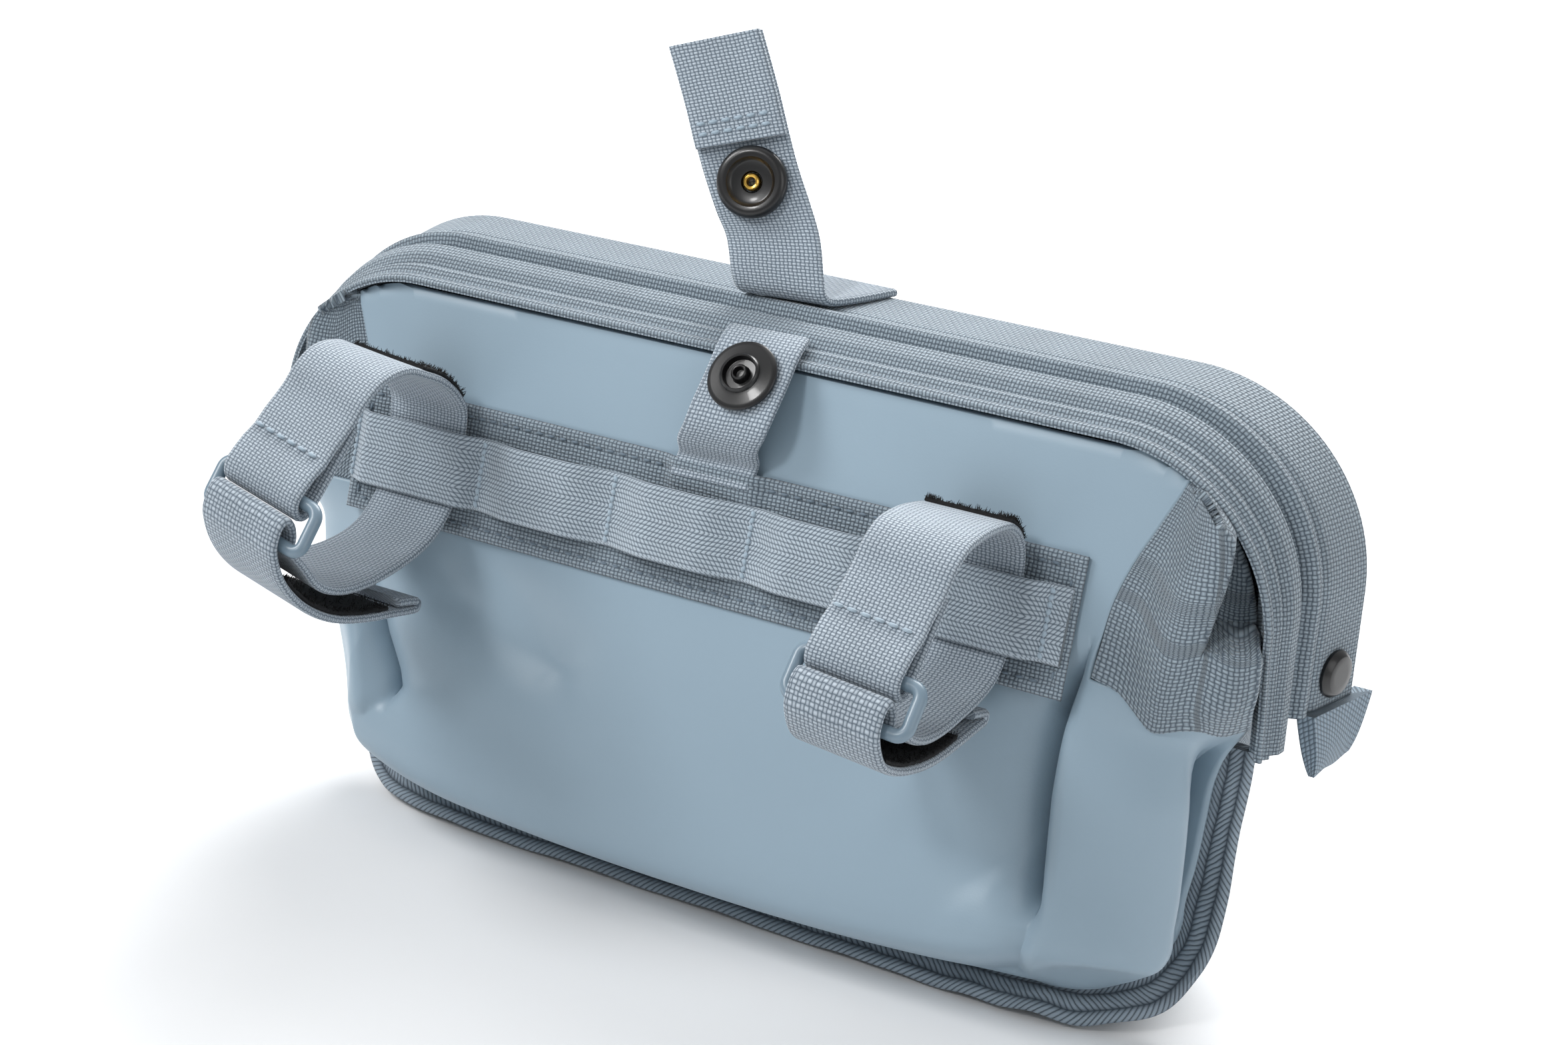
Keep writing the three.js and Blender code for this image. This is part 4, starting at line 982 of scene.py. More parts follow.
    def front(self) -> None:
        """Canvas front with the flat bottom."""
        us = spread(-2, 2, 121)
        vs = merged(spread(0, 14, 70), spread(14, 17, 18))
        bm = grid_mesh(us, vs, lambda u, v: self.front_point(1 if u >= 0 else -1, abs(u), v))
        face_toward(bm, Vector((0, 1, 0)))
        piece = finish_object("canvas_front", bm, CANVAS, ["front_panel"])
        add_thickness(piece, self.canvas)

    def gusset(self, side: int, word: str) -> None:
        """Canvas of one end, with the fold into its pocket and a loose lower edge.

        Args:
            side: 1 right, -1 left.
            word: the side's name.
        """
        def place(u: float, v: float) -> Vector:
            """Surface of the gusset; u is the share of its width."""
            row = mix(0.1, 5.75 + 1.35 * smooth(0.0, 0.45, u) + 0.16 * math.sin(u * 15 + 1.2), v)
            p = self.rear_point(side, 1 + u, row)
            share = p.z / HEIGHT
            edge = POCKET.straight(share, 1)
            deep = POCKET.straight(share, 2) * DEPTH * smooth(edge - 0.012, edge + 0.03, u)
            open_part = smooth(0.55, 0.68, share) * (1 - smooth(0.84, 0.93, share))
            swell = 1.6 * bump(u, edge - 0.12, 0.12) * open_part
            under = 1.8 * bump(u, 0.8, 0.14) * bump(share, 0.615, 0.05)
            over = 0.25 + 0.55 * smooth(0.75, 1.0, v) + 0.8 * bump(u, 0.62, 0.1) * smooth(0.9, 1.0, v)
            p += Vector((side * 0.55, -0.85, 0)) * (over + swell + under)
            p.y += deep
            p.x -= side * deep * 0.45
            p.y += 1.3 * bump(u, 0.33, 0.035) * smooth(0.86, 0.93, share)
            return self.tuck(p)

        us = merged(spread(0.0, 0.55, 34), spread(0.55, 0.95, 84), spread(0.95, 0.995, 4))
        bm = grid_mesh(us, spread(0, 1, 110), place)
        face_toward(bm, Vector((side, -1, 0)))
        piece = finish_object(f"canvas_gusset_{word}", bm, CANVAS, [f"gusset_{word}"])
        add_thickness(piece, self.canvas)

    def seam_line(self, count: int) -> list[tuple[Vector, Vector, float]]:
        """Lays out the bound seam.

        Args:
            count: stretches of each half.

        Returns:
            Root, way out and ruffle at each point, from the right end to the left one.
        """
        half = []
        for i in range(count + 1):
            x, y, z, ox, oy, oz, ruffle = SEAM.at((i / count) ** 0.8 * (len(SEAM.rows) - 1))
            half.append((Vector((x, y, z)), Vector((ox, oy, oz)).normalized(), ruffle))
        flip = [(Vector((-p.x, p.y, p.z)), Vector((-o.x, o.y, o.z)), r) for p, o, r in reversed(half[:-1])]
        return [(self.settle(p) - out * self.tape_depth, out, ruffle) for p, out, ruffle in (*half, *flip)]

    def binding(self) -> None:
        """Herringbone tape folded over the seam, ruffled along the bottom."""
        line = self.seam_line(170)
        roots = [root for root, _, _ in line]
        runs = run_lengths(roots)

        def place(u: int, v: int) -> Vector:
            """Point u of the section at station v."""
            root, out, ruffle = line[v]
            normal = ahead_at(roots, v).cross(out).normalized()
            across, away = TAPE_SECTION[u]
            tight = bump(root.x, 84.0, 26.0) * (1 - smooth(18.0, 34.0, root.z))
            wave = 0.9 * math.sin(runs[v] / 5.5) + (0.3 + 1.2 * tight) * math.sin(runs[v] / 2.3 + 1)
            sway = ruffle * wave * (across / 8)
            across *= mix(1.0, 0.8, smooth(18.0, 45.0, root.z))
            return root + out * across + normal * (away + sway)

        finish_object("bound_seam", tube_mesh(len(TAPE_SECTION), len(line), place), TAPE, ["seam_binding"])


@dataclass
class MouthFrame:
    """Canvas sleeves of the two frames, the rivets and the folded tabs at the feet."""

    rivet_radius: float = 4.9
    rivet_height: float = 1.8
    rivet_y: float = 37.0
    rivet_z: float = 73.6
    tab_length: float = 15.5
    tab_thick: float = 3.8
    tab_rise: float = 2.5
    rear_stitches: float = 0.17  # places of the stitches as shares of the bands' widths
    front_stitches: float = 0.23

    def build(self) -> None:
        """Makes the sleeves and their hardware."""
        self.sleeve("rear_sleeve", "back_frame_sleeve", 34, self.rear_line, self.rear_place)
        self.sleeve("front_sleeve", "front_frame_sleeve", 44, self.front_line, self.front_place)
        for side, word in SIDES:
            self.rivet(side, word)
            self.tab(side, word)
        self.stitching()

    @staticmethod
    def rear_line(_: float) -> list[Station]:
        """Hoop of the rear frame, the same all across its band."""
        return HOOP.line(HALF, HEIGHT, HOOP.corner, HOOP.rear_foot)

    @staticmethod
    def front_line(across: float) -> list[Station]:
        """Hoop of the front frame at a share of its band's width."""
        return HOOP.line(HALF + HOOP.flare * across, HEIGHT + HOOP.rise * across, HOOP.corner + 2 * across,
                         HOOP.front_foot)

    @staticmethod
    def rear_out(across: float) -> float:
        """How proud the rear sleeve's face stands at a share of its width, with its ridges and seams."""
        ridges = 0.3 * bump(across, 0.05, 0.05) + 0.5 * bump(across, 0.3, 0.05)
        return (ridges + 0.9 * smooth(0.46, 0.62, across) - 2.8 * smooth(0.8, 1.0, across) ** 1.4
                - 0.45 * bump(across, 0.17, 0.025) - 0.5 * bump(across, 0.43, 0.03))

    @staticmethod
    def front_out(across: float) -> float:
        """How proud the front sleeve's face stands at a share of its width, with its piped ridge."""
        return (-2.6 + 3.9 * smooth(-0.04, 0.085, across) - 1.5 * smooth(0.13, 0.2, across)
                + 0.6 * smooth(0.22, 0.34, across) - 1.4 * smooth(0.9, 1.0, across))

    def rear_place(self, across: float, station: Station, inner: bool) -> Vector:
        """Place on the rear sleeve.

        Args:
            across: share of its width, from the hem.
            station: point of its hoop.
            inner: on its inner face.

        Returns:
            The point in mm.
        """
        x, z, nx, nz = station
        drop = mix(HOOP.leg_lean, HOOP.lean, nz) * (1 - across)
        narrow = 3.5 * (1 - across) * (1 - smooth(HOOP.rear_foot, HOOP.rear_foot + 30, z))
        thick = mix(HOOP.hem, HOOP.rear_thick, smooth(0.05, 0.5, across)) if inner else 0.0
        away = self.rear_out(across) - drop - thick
        return Vector((x + nx * away, HOOP.seat_y + HOOP.rear_width * across + narrow, z + nz * away))

    def front_place(self, across: float, station: Station, inner: bool) -> Vector:
        """Place on the front sleeve.

        Args:
            across: share of its width, from the piped edge.
            station: point of its hoop at that share.
            inner: on its inner face.

        Returns:
            The point in mm.
        """
        x, z, nx, nz = station
        away = -HOOP.front_thick if inner else self.front_out(across)
        return Vector((x + nx * away, HOOP.front_y + HOOP.front_width * across, z + nz * away))

    @staticmethod
    def sleeve(name: str, node: str, columns: int, hoop: Callable[[float], list[Station]],
               point: Callable[[float, Station, bool], Vector]) -> None:
        """Cloth casing of one frame.

        Args:
            name: the piece's name.
            node: CAD node that it stands for.
            columns: points across each face.
            hoop: line of the hoop at a share of the band's width.
            point: place on the band at that share, a point of the hoop and a face.
        """
        outer = spread(0, 1, columns)
        ring = [*((a, False) for a in outer), *((a, True) for a in reversed(outer)), (outer[0], False)]
        lines = {across: hoop(across) for across in outer}

        def place(u: int, v: int) -> Vector:
            """Point u of the ring at station v."""
            across, inner = ring[u]
            return point(across, lines[across][v], inner)

        finish_object(name, tube_mesh(len(ring), len(lines[outer[0]]), place), CANVAS, [node])

    def stitching(self) -> None:
        """Stitches along both sleeves."""
        rows = []
        for across, hoop, point, lean in ((self.rear_stitches, self.rear_line, self.rear_place, -0.3),
                                          (self.front_stitches, self.front_line, self.front_place, 0.0)):
            stations = hoop(across)
            rows.append(([point(across, station, False) for station in stations],
                         [Vector((nx, lean, nz)) for _, _, nx, nz in stations]))
        Seam("sleeve_stitches", length=2.3, space=0.8, width=0.7, finish=SUNK_THREAD).build(rows)

    def rivet(self, side: int, word: str) -> None:
        """Black cap over the frame's pivot, with a turned edge.

        Args:
            side: 1 right, -1 left.
            word: the side's name.
        """
        across = (self.rivet_y - HOOP.front_y) / HOOP.front_width
        at = Vector((side * (HALF + HOOP.flare * across + 0.2), self.rivet_y, self.rivet_z))
        axis = Vector((side * HOOP.front_width, -HOOP.flare, 0)).normalized()
        r, h = self.rivet_radius, self.rivet_height + GAP
        profile = [(0, 0.2), (r - 0.1, 0.2), (r, 0.35), (r, 0.9), (r - 0.15, 1.1), (r - 0.9, h - 0.1),
                   (r - 1.1, h), (r - 2.6, h + 0.02), (0, h + 0.05)]
        finish_object(f"rivet_cap_{word}", turned_mesh(profile, at, axis), LACQUER, [f"rivet_{word}"],
                      sharp=35.0)

    def tab(self, side: int, word: str) -> None:
        """Webbing folded under the leg's foot and tacked to it.

        Args:
            side: 1 right, -1 left.
            word: the side's name.
        """
        top = HOOP.front_foot - GAP
        outer = spread(0, 1, 12)
        ring = [*((a, 1.0) for a in outer), *((a, -1.0) for a in reversed(outer)), (0.0, 1.0)]

        def place(u: int, v: float) -> Vector:
            """Point u round the fold at a share of its length."""
            share, face = ring[u]
            across = mix(mix(0.2, 0.4, v), mix(1.12, 0.98, v), share)
            half = mix(self.tab_thick, 2.4, v * v) / 2 * (1 - 0.5 * v ** 6)
            wave = 0.5 * math.sin(share * 5 + 1) * v
            z = top - self.tab_length * v + self.tab_rise * across * v + 0.6 * math.sin(share * 7) * v
            x = HALF + HOOP.flare * across - HOOP.front_thick / 2 + 2.6 + face * half + wave
            return Vector((side * x, HOOP.front_y + HOOP.front_width * across, z))

        bm = grid_mesh(range(len(ring)), spread(0, 1, 14), place, close=True)
        cap_ends(bm)
        # Paler copy of the binding tape: painted light on the folded tab.
        finish_object(f"folded_tab_{word}", bm, LIT_FOOT_TAPE, [f"end_tab_{word}"])


# Closing strap from under the front sleeve's top to its end: x, y, z, and the way of its width x, y, z
CLOSING = Table((
    (0.044, 0.362, 1.018, 1, 0, 0), (0.018, 0.285, 1.0172, 1, 0.04, 0),
    (-0.004, 0.226, 1.0192, 0.99, 0.12, 0), (-0.012, 0.207, 1.031, 0.98, 0.18, 0.02),
    (-0.022, 0.21, 1.056, 0.97, 0.24, 0.05), (-0.043, 0.226, 1.109, 0.95, 0.28, 0.1),
    (-0.07, 0.233, 1.156, 0.925, 0.31, 0.215), (-0.098, 0.24, 1.205, 0.92, 0.31, 0.228),
    (-0.121, 0.247, 1.251, 0.91, 0.32, 0.26), (-0.147, 0.256, 1.308, 0.91, 0.32, 0.27),
    (-0.172, 0.264, 1.358, 0.91, 0.32, 0.28), (-0.197, 0.271, 1.407, 0.9, 0.33, 0.28),
), (HEIGHT, HEIGHT, HEIGHT, 1, 1, 1))
# Stud strap from the rear sleeve down under the webbing panel: x, y, z
STUD = Table((
    (0.03, 0.105, 0.987), (0.034, 0.082, 0.981), (0.037, 0.056, 0.966), (0.038, 0.024, 0.93),
    (0.034, -0.008, 0.885), (0.024, -0.012, 0.853), (0.006, 0.0, 0.822), (-0.002, 0.0205, 0.794),
    (-0.006, 0.0155, 0.772), (-0.01, 0.0105, 0.752),
), (HEIGHT, HEIGHT, HEIGHT))


StrapLine = Callable[[float], tuple[Vector, Vector]]


@dataclass
class SnapStraps:
    """Closing strap with its snap socket, and the stud strap below it; rows are those of their tables."""

    socket_row: float = 6.7
    double_row: float = 8.0
    stitch_rows: Point2 = (8.35, 8.62)
    stitch_span: float = 0.88
    stud_row: float = 3.0
    radius: float = 7.5
    height: float = 2.4
    steps: int = 8  # points of a strap's line for each row

    def build(self) -> None:
        """Makes both straps and their snaps."""
        self.closing_strap()
        self.socket()
        self.stud_strap()
        self.stud()

    @staticmethod
    def closing_at(at: float) -> tuple[Vector, Vector]:
        """Point and width direction of the closing strap at a row."""
        x, y, z, wx, wy, wz = CLOSING.at(at)
        return Vector((x, y, z)), Vector((wx, wy, wz))

    @staticmethod
    def stud_at(at: float) -> tuple[Vector, Vector]:
        """Point and width direction of the stud strap at a row."""
        return Vector(STUD.at(at)), Vector((1, 0, 0.02))

    @staticmethod
    def face_of(line: StrapLine, at: float, lift: float) -> tuple[Vector, Vector]:
        """Finds the rider's side of a strap.

        Args:
            line: point and width direction of the strap at a row.
            at: the row.
            lift: mm above its face.

        Returns:
            The point and the face's outward direction.
        """
        normal = (line(at + 0.3)[0] - line(at - 0.3)[0]).cross(line(at)[1]).normalized()
        if normal.y > 0:
            normal.negate()
        return line(at)[0] + normal * (STRAP_THICK / 2 + lift), normal

    def stations(self, line: StrapLine, rows: int) -> tuple[list[float], list[Vector], list[Vector]]:
        """Rows, points and width directions all along a strap."""
        places = spread(0, rows - 1, (rows - 1) * self.steps + 1)
        found = [line(at) for at in places]
        return places, [p for p, _ in found], [wide for _, wide in found]

    def closing_strap(self) -> None:
        """Strap that stands up from the front sleeve, its end folded back and sewn."""
        rows, line, wides = self.stations(self.closing_at, len(CLOSING.rows))
        bm = strap_mesh(line, wides, webbing_section(STRAP_WIDTH, STRAP_THICK))
        finish_object("closing_webbing", bm, WEBBING, ["closing_strap"])
        folded = [i for i, at in enumerate(rows) if at >= self.double_row]
        back = [line[i] - ahead_at(line, i).cross(wides[i]).normalized() * (STRAP_THICK + 0.1)
                for i in folded]
        bm = strap_mesh(back, [wides[i] for i in folded], webbing_section(STRAP_WIDTH - 0.3, STRAP_THICK))
        finish_object("closing_webbing_fold", bm, WEBBING)
        sewn = []
        for at in self.stitch_rows:
            face, normal = self.face_of(self.closing_at, at, STRAP_THICK + 0.1)
            wide = self.closing_at(at)[1].normalized()
            row = [face + wide * share * STRAP_WIDTH
                   for share in spread(-self.stitch_span / 2, self.stitch_span / 2, 8)]
            sewn.append((row, [normal] * len(row)))
        Seam("closing_stitches", length=2.4, space=0.3, width=1.0, height=1.0).build(sewn)

    def socket(self) -> None:
        """Black ring of the snap socket with its brass eyelet."""
        at, normal = self.face_of(self.closing_at, self.socket_row, GAP + 0.4)
        r, h = self.radius, self.height
        ring = [(2.1, 0), (r - 0.2, 0), (r, 0.25), (r, h * 0.5), (r - 0.25, h * 0.75),
                (r - 0.9, h * 0.97), (r - 1.6, h), (r - 2.3, h * 0.92), (r - 2.9, h * 0.55),
                (r - 3.3, h * 0.45), (2.3, h * 0.42), (2.1, h * 0.3)]
        finish_object("snap_socket_ring", turned_mesh(ring, at, normal, 56), LACQUER, ["snap_socket"],
                      sharp=40.0)
        eyelet = [(0.85, 0), (1.85, 0), (1.85, h * 0.5), (1.7, h * 0.66), (1.35, h * 0.74), (1.0, h * 0.68),
                  (0.85, h * 0.5)]
        finish_object("snap_eyelet", turned_mesh(eyelet, at, normal, 32), BRASS, ["socket_eyelet"],
                      sharp=40.0)

    def stud_strap(self) -> None:
        """Short strap from the rear sleeve down to the webbing panel."""
        _, line, wides = self.stations(self.stud_at, len(STUD.rows))
        bm = strap_mesh(line, wides, webbing_section(STRAP_WIDTH - 1, STRAP_THICK))
        finish_object("stud_webbing", bm, WEBBING, ["stud_strap"])

    def stud(self) -> None:
        """Black stud: a rolled ring round a hollow post."""
        at, normal = self.face_of(self.stud_at, self.stud_row, GAP + 0.3)
        r, h = self.radius, self.height
        profile = [(0, 0), (r - 0.2, 0), (r, 0.2), (r, h * 0.3), (r - 0.3, h * 0.42), (r - 1.0, h * 0.5),
                   (r - 2.6, h * 0.62), (4.3, h * 0.7), (4.15, h * 0.95), (3.9, h * 1.04), (3.6, h * 0.98),
                   (3.45, h * 0.7), (3.3, h * 0.45), (2.0, h * 0.4), (1.85, h * 0.55), (1.75, h * 0.95),
                   (1.5, h * 1.06), (1.2, h * 1.02), (1.05, h * 0.8), (1.0, h * 0.5), (0, h * 0.45)]
        finish_object("snap_stud_ring", turned_mesh(profile, at, normal, 56), LACQUER, ["snap_stud"],
                      sharp=40.0)


@dataclass
class WebbingPanel:
    """Canvas rectangle sewn to the back, and the tacked webbing across it, in mm."""

    centre_x: float = -4.6
    length: float = 173.0
    height: float = 28.4
    thick: float = 1.6
    hem: float = 2.1
    web_width: float = 15.6
    web_thick: float = 1.3
    first_tack: float = -89.8
    pitch: float = 33.26
    loops: int = 5
    ease: float = 3.5
    inset: float = 2.6  # of the stitches from the edge
    strap_edges: Station = (-13.0, -9.6, 8.2, 12.0)  # x where the panel rises over the stud strap
    strap_rise: float = 2.1

    @property
    def web_seat(self) -> float:
        """How far the webbing's middle stands off where it lies on the panel."""
        return 2 * GAP + self.thick + self.web_thick / 2

    @property
    def strap_seat(self) -> float:
        """How far a handlebar strap's middle stands off where it passes the panel."""
        return 2 * GAP + self.hem + STRAP_THICK / 2

    def build(self) -> None:
        """Makes the panel, the webbing and their stitches."""
        self.panel()
        self.webbing()
        self.stitching()

    def panel(self) -> None:
        """Canvas with its edges folded under."""
        def place(u: float, v: float) -> Vector:
            """Outer face of the panel."""
            x = self.centre_x + (u - 0.5) * self.length
            up = (v - 0.5) * self.height
            edge = min(u * self.length, (1 - u) * self.length, v * self.height, (1 - v) * self.height)
            out = GAP + mix(self.hem, self.thick, smooth(2.2, 3.4, edge))
            out -= 0.35 * bump(edge, self.inset, 0.5)
            out -= 0.5 * (1 - smooth(0, 0.7, edge))
            a, b, c, d = self.strap_edges
            over = smooth(a, b, x) * (1 - smooth(c, d, x)) * smooth(0.62, 0.85, v)
            return on_panel(x, out + self.strap_rise * over, up)

        us = merged(spread(0, 0.025, 10), spread(0.025, 0.975, 120), spread(0.975, 1, 10))
        vs = merged(spread(0, 0.15, 12), spread(0.15, 0.85, 14), spread(0.85, 1, 12))
        bm = grid_mesh(us, vs, place)
        face_toward(bm, OFF_SLOPE)
        piece = finish_object("webbing_panel", bm, CANVAS, ["daisy_panel"])
        add_thickness(piece, self.thick - 0.2)

    def off(self, x: float) -> float:
        """How far the webbing's middle stands off: close at its tacks, eased or held up between them.

        Args:
            x: place along the panel.

        Returns:
            Distance in mm.
        """
        loop = math.floor((x - self.first_tack) / self.pitch)
        if loop < 0 or loop >= self.loops:
            return self.web_seat
        t = (x - self.first_tack) / self.pitch - loop
        holds = loop in (0, self.loops - 1)
        over = self.strap_seat + STRAP_THICK / 2 + GAP + self.web_thick / 2
        rise = over + 0.15 - self.web_seat if holds else self.ease
        return self.web_seat + rise * smooth(0, 0.14 if holds else 0.34, min(t, 1 - t))

    def webbing(self) -> None:
        """Narrow webbing, eased between its tacks."""
        start = self.centre_x - self.length / 2 + 1
        end = self.first_tack + self.loops * self.pitch + 4
        xs = spread(start, end, 240)
        line = [on_panel(x, self.off(x), 0) for x in xs]
        bm = strap_mesh(line, [UP_SLOPE] * len(line), webbing_section(self.web_width, self.web_thick))
        finish_object("tacked_webbing", bm, NARROW_WEB, ["daisy_webbing"])

    def stitching(self) -> None:
        """Rows round the panel and the tacks across the webbing."""
        x0 = self.centre_x - self.length / 2 + self.inset
        x1 = self.centre_x + self.length / 2 - self.inset
        top = self.height / 2 - self.inset
        seat = GAP + self.thick + 0.15
        rows = [[on_panel(x, seat, up) for x in spread(x0, x1, 40)] for up in (top, -top)]
        rows += [[on_panel(x, seat, up) for up in spread(-top, top, 10)] for x in (x0, x1)]
        half = self.web_width / 2 - 0.6
        tacks = []
        for k in range(self.loops + 1):
            x = self.first_tack + k * self.pitch
            tacks.append([on_panel(x + 0.5 * math.sin(up * 2.4), self.web_seat + self.web_thick / 2, up)
                          for up in spread(-half, half, 12)])
        for seam, lines in ((Seam("panel_stitches", 2.2, 0.8, 0.75, 0.6, SUNK_THREAD), rows),
                            (Seam("webbing_tacks", 1.6, 0.2, 1.2, 1.0), tacks)):
            seam.build([(row, [OFF_SLOPE] * len(row)) for row in lines])


@dataclass(frozen=True)
class Loop:
    """Side view of one handlebar strap, (out, up) in mm: arch, way back, free end, ring's upper bar.

    nap_from is the arch's point where its napped strip starts, and skew the drop of the ring's right end as
    a share of its length.
    """

    arch: tuple[Point2, ...]
    back: tuple[Point2, ...]
    fold: tuple[Point2, ...]
    ring: Point2
    nap_from: float
    skew: float


LEFT_LOOP = Loop(
    ((42.6, 11.5), (39.4, 16.2), (34.5, 20.2), (27, 22), (19.8, 20.6), (13.6, 18.9), (8.2, 16.2),
     (4.8, 13.2)),
    ((4.6, -9.5), (7.2, -13.4), (11.6, -17), (19.4, -20.4), (29.4, -22.8), (38, -23.2), (45.2, -21.4),
     (50.4, -17.6)),
    ((57.2, -19.8), (49.6, -25.2), (39, -28.8), (29, -30.2), (20, -30.6), (10.5, -30.6)),
    ring=(53.8, -4.4), nap_from=3.7, skew=0.24)
RIGHT_LOOP = Loop(
    ((37.2, 6.5), (34.8, 10.8), (31, 14.2), (25, 16.3), (18, 17.4), (12, 17.4), (7.4, 15.4), (4.6, 12.2)),
    ((4.6, -9.8), (7, -13), (12, -16), (18.5, -18.4), (26, -20.6), (33, -21.4), (39.4, -20.4), (44, -18.4)),
    ((50, -24), (43.5, -26), (36, -26.6), (27.5, -26.2), (18, -24.2), (7.5, -21.2)),
    ring=(47.2, -9.2), nap_from=4.8, skew=0.09)


@dataclass
class HandlebarStrap:
    """Hook-and-loop strap round its ring, its side view in mm out from the panel and up along it."""

    word: str
    x: float
    loop: Loop
    seat: float
    bar: float = 1.35
    ring_reach: float = 9.6
    ring_shift: float = 0.8
    ring_room: float = 0.5
    ring_corner: float = 2.2
    upper_slack: float = 0.3
    lower_slack: float = 2.3
    steps: int = 6  # points of the line for each of its stretches
    nap_width: float = 18.6
    nap_thick: float = 0.9
    fibres: int = 700

    @property
    def lower(self) -> Point2:
        """Middle of the ring's lower bar."""
        return self.loop.ring[0] + 0.46 * self.ring_reach, self.loop.ring[1] - 0.888 * self.ring_reach

    @staticmethod
    def wrap(middle: Point2, radius: float, start: float, end: float, slack: float = 0.0) -> list[Point2]:
        """Arc round a bar.

        Args:
            middle: of the bar.
            radius: of the arc.
            start: angle in degrees from the out axis toward up.
            end: last angle.
            slack: how far the arc's middle is eased out.

        Returns:
            Points of the arc in side view.
        """
        turns = [math.radians(a) for a in spread(start, end, 7)]
        aim = math.radians((start + end) / 2)
        eased = [slack * max(math.cos(a - aim), 0.0) for a in turns]
        return [(middle[0] + radius * math.cos(a) + ease * math.cos(aim),
                 middle[1] + radius * math.sin(a) + ease * math.sin(aim)) for a, ease in zip(turns, eased)]

    def route(self) -> list[list[Point2]]:
        """Side view of the strap, section by section along the webbing."""
        radius = self.bar + GAP + STRAP_THICK / 2
        double = STRAP_THICK + 0.1
        arch, upper = self.loop.arch, self.loop.ring
        toward = math.atan2(arch[0][1] - upper[1], arch[0][0] - upper[0])
        inner = (arch[0][0] - double * math.sin(toward), arch[0][1] + double * math.cos(toward))
        degrees = math.degrees(toward)
        first = [inner, *self.wrap(upper, radius, degrees + 90, degrees + 270, self.upper_slack)]
        panel = [(self.seat, up) for up in (9, 3, -3, -7)]
        under = self.wrap(self.lower, radius + 0.3, 195, -20, self.lower_slack)
        end = self.loop.fold[-1]
        tip = self.wrap((end[0], end[1] + double / 2), double / 2, -90, -270)[1:]
        tail = [(end[0] + 6, end[1] + double + 0.2)]
        return [first, list(arch), panel, list(self.loop.back), under, list(self.loop.fold), tip, tail]

    def build(self) -> None:
        """Makes the strap, its ring, its fastener strips and its stitches."""
        sections = self.route()
        line = curve_through([on_panel(self.x, *p) for section in sections for p in section], self.steps)
        arch, fold = (sum(len(section) for section in sections[:i]) * self.steps for i in (1, 5))
        sewn_at = arch - 3
        sewn = run_lengths(line)[sewn_at]

        def pressed(_: float, run: float) -> float:
            """Dent that the stitches press into the strap, to the outer side."""
            return 0.55 * bump(run, sewn, 1.0)

        bm = strap_mesh(line, [self.wide_at(p) for p in line], webbing_section(STRAP_WIDTH, STRAP_THICK),
                        pressed)
        finish_object(f"bar_strap_{self.word}", bm, WEBBING, [f"strap_{self.word}"])
        self.ring()
        self.nap("loop", line, arch + round(self.loop.nap_from * self.steps), arch + 7 * self.steps - 3)
        self.nap("hook", line, fold + 1, fold + 4 * self.steps)
        self.stitches(line, sewn_at)

    def wide_at(self, place: Vector) -> Vector:
        """Direction of the strap's width: skewed with the ring, square where it lies on the panel."""
        out = (place - on_panel(self.x, 0, 0)).dot(OFF_SLOPE)
        return (RIGHT - UP_SLOPE * self.loop.skew * smooth(8.0, 44.0, out)).normalized()

    def stitches(self, line: Sequence[Vector], at: int) -> None:
        """Row of stitches that holds the ring, near the arch's foot.

        Args:
            line: middle of the strap.
            at: the point of the line that is sewn.
        """
        out = -ahead_at(line, at).normalized().cross(RIGHT).normalized()
        if out.dot(OFF_SLOPE) < 0:
            out.negate()
        wide = self.wide_at(line[at])
        row = [line[at] + out * (STRAP_THICK / 2 - 0.1) + wide * x for x in spread(-9.4, 9.4, 8)]
        seam = Seam(f"strap_stitches_{self.word}", length=2.6, space=0.3, width=0.95, height=0.9)
        seam.build([(row, [out] * len(row))])

    def nap(self, kind: str, line: Sequence[Vector], first: int, last: int) -> None:
        """Napped strip on the outer side of the strap's line, with loose fibres, more at its edges.

        Args:
            kind: loop or hook.
            line: middle of the strap.
            first: the line's point where it starts.
            last: the point where it ends.
        """
        name = f"{kind}_nap_{self.word}"
        wides = [self.wide_at(line[i]) for i in range(first, last + 1)]
        outs = [-ahead_at(line, i).cross(wide).normalized() for i, wide in enumerate(wides, first)]
        points = [line[i] + out * (STRAP_THICK / 2 + 0.4) for i, out in enumerate(outs, first)]

        def rough(across: float, run: float) -> float:
            """Uneven pile."""
            return 0.25 * noise.noise(Vector((across * 0.9, run * 0.9, self.x)))

        bm = strap_mesh(points, wides, webbing_section(self.nap_width, self.nap_thick, 14), rough)
        chance = random.Random(name)
        for _ in range(self.fibres):
            i = chance.randrange(len(points))
            if chance.random() < 0.5:
                across = chance.choice((-1, 1)) * chance.uniform(7.5, 9.3)
            else:
                across = chance.uniform(-9, 9)
            lean = Vector([chance.uniform(-0.8, 0.8) for _ in range(3)])
            way = (outs[i] + lean).normalized()
            root = points[i] + wides[i] * across + outs[i] * 0.3
            turn = UP.rotation_difference(way).to_matrix().to_4x4()
            length = chance.uniform(0.4, 1.3)
            bmesh.ops.create_cone(bm, segments=3, radius1=0.12, radius2=0.04, depth=length, cap_ends=False,
                                  matrix=Matrix.Translation(root + way * length / 2) @ turn)
        finish_object(name, bm, NAP, [f"{kind}_patch_{self.word}"])

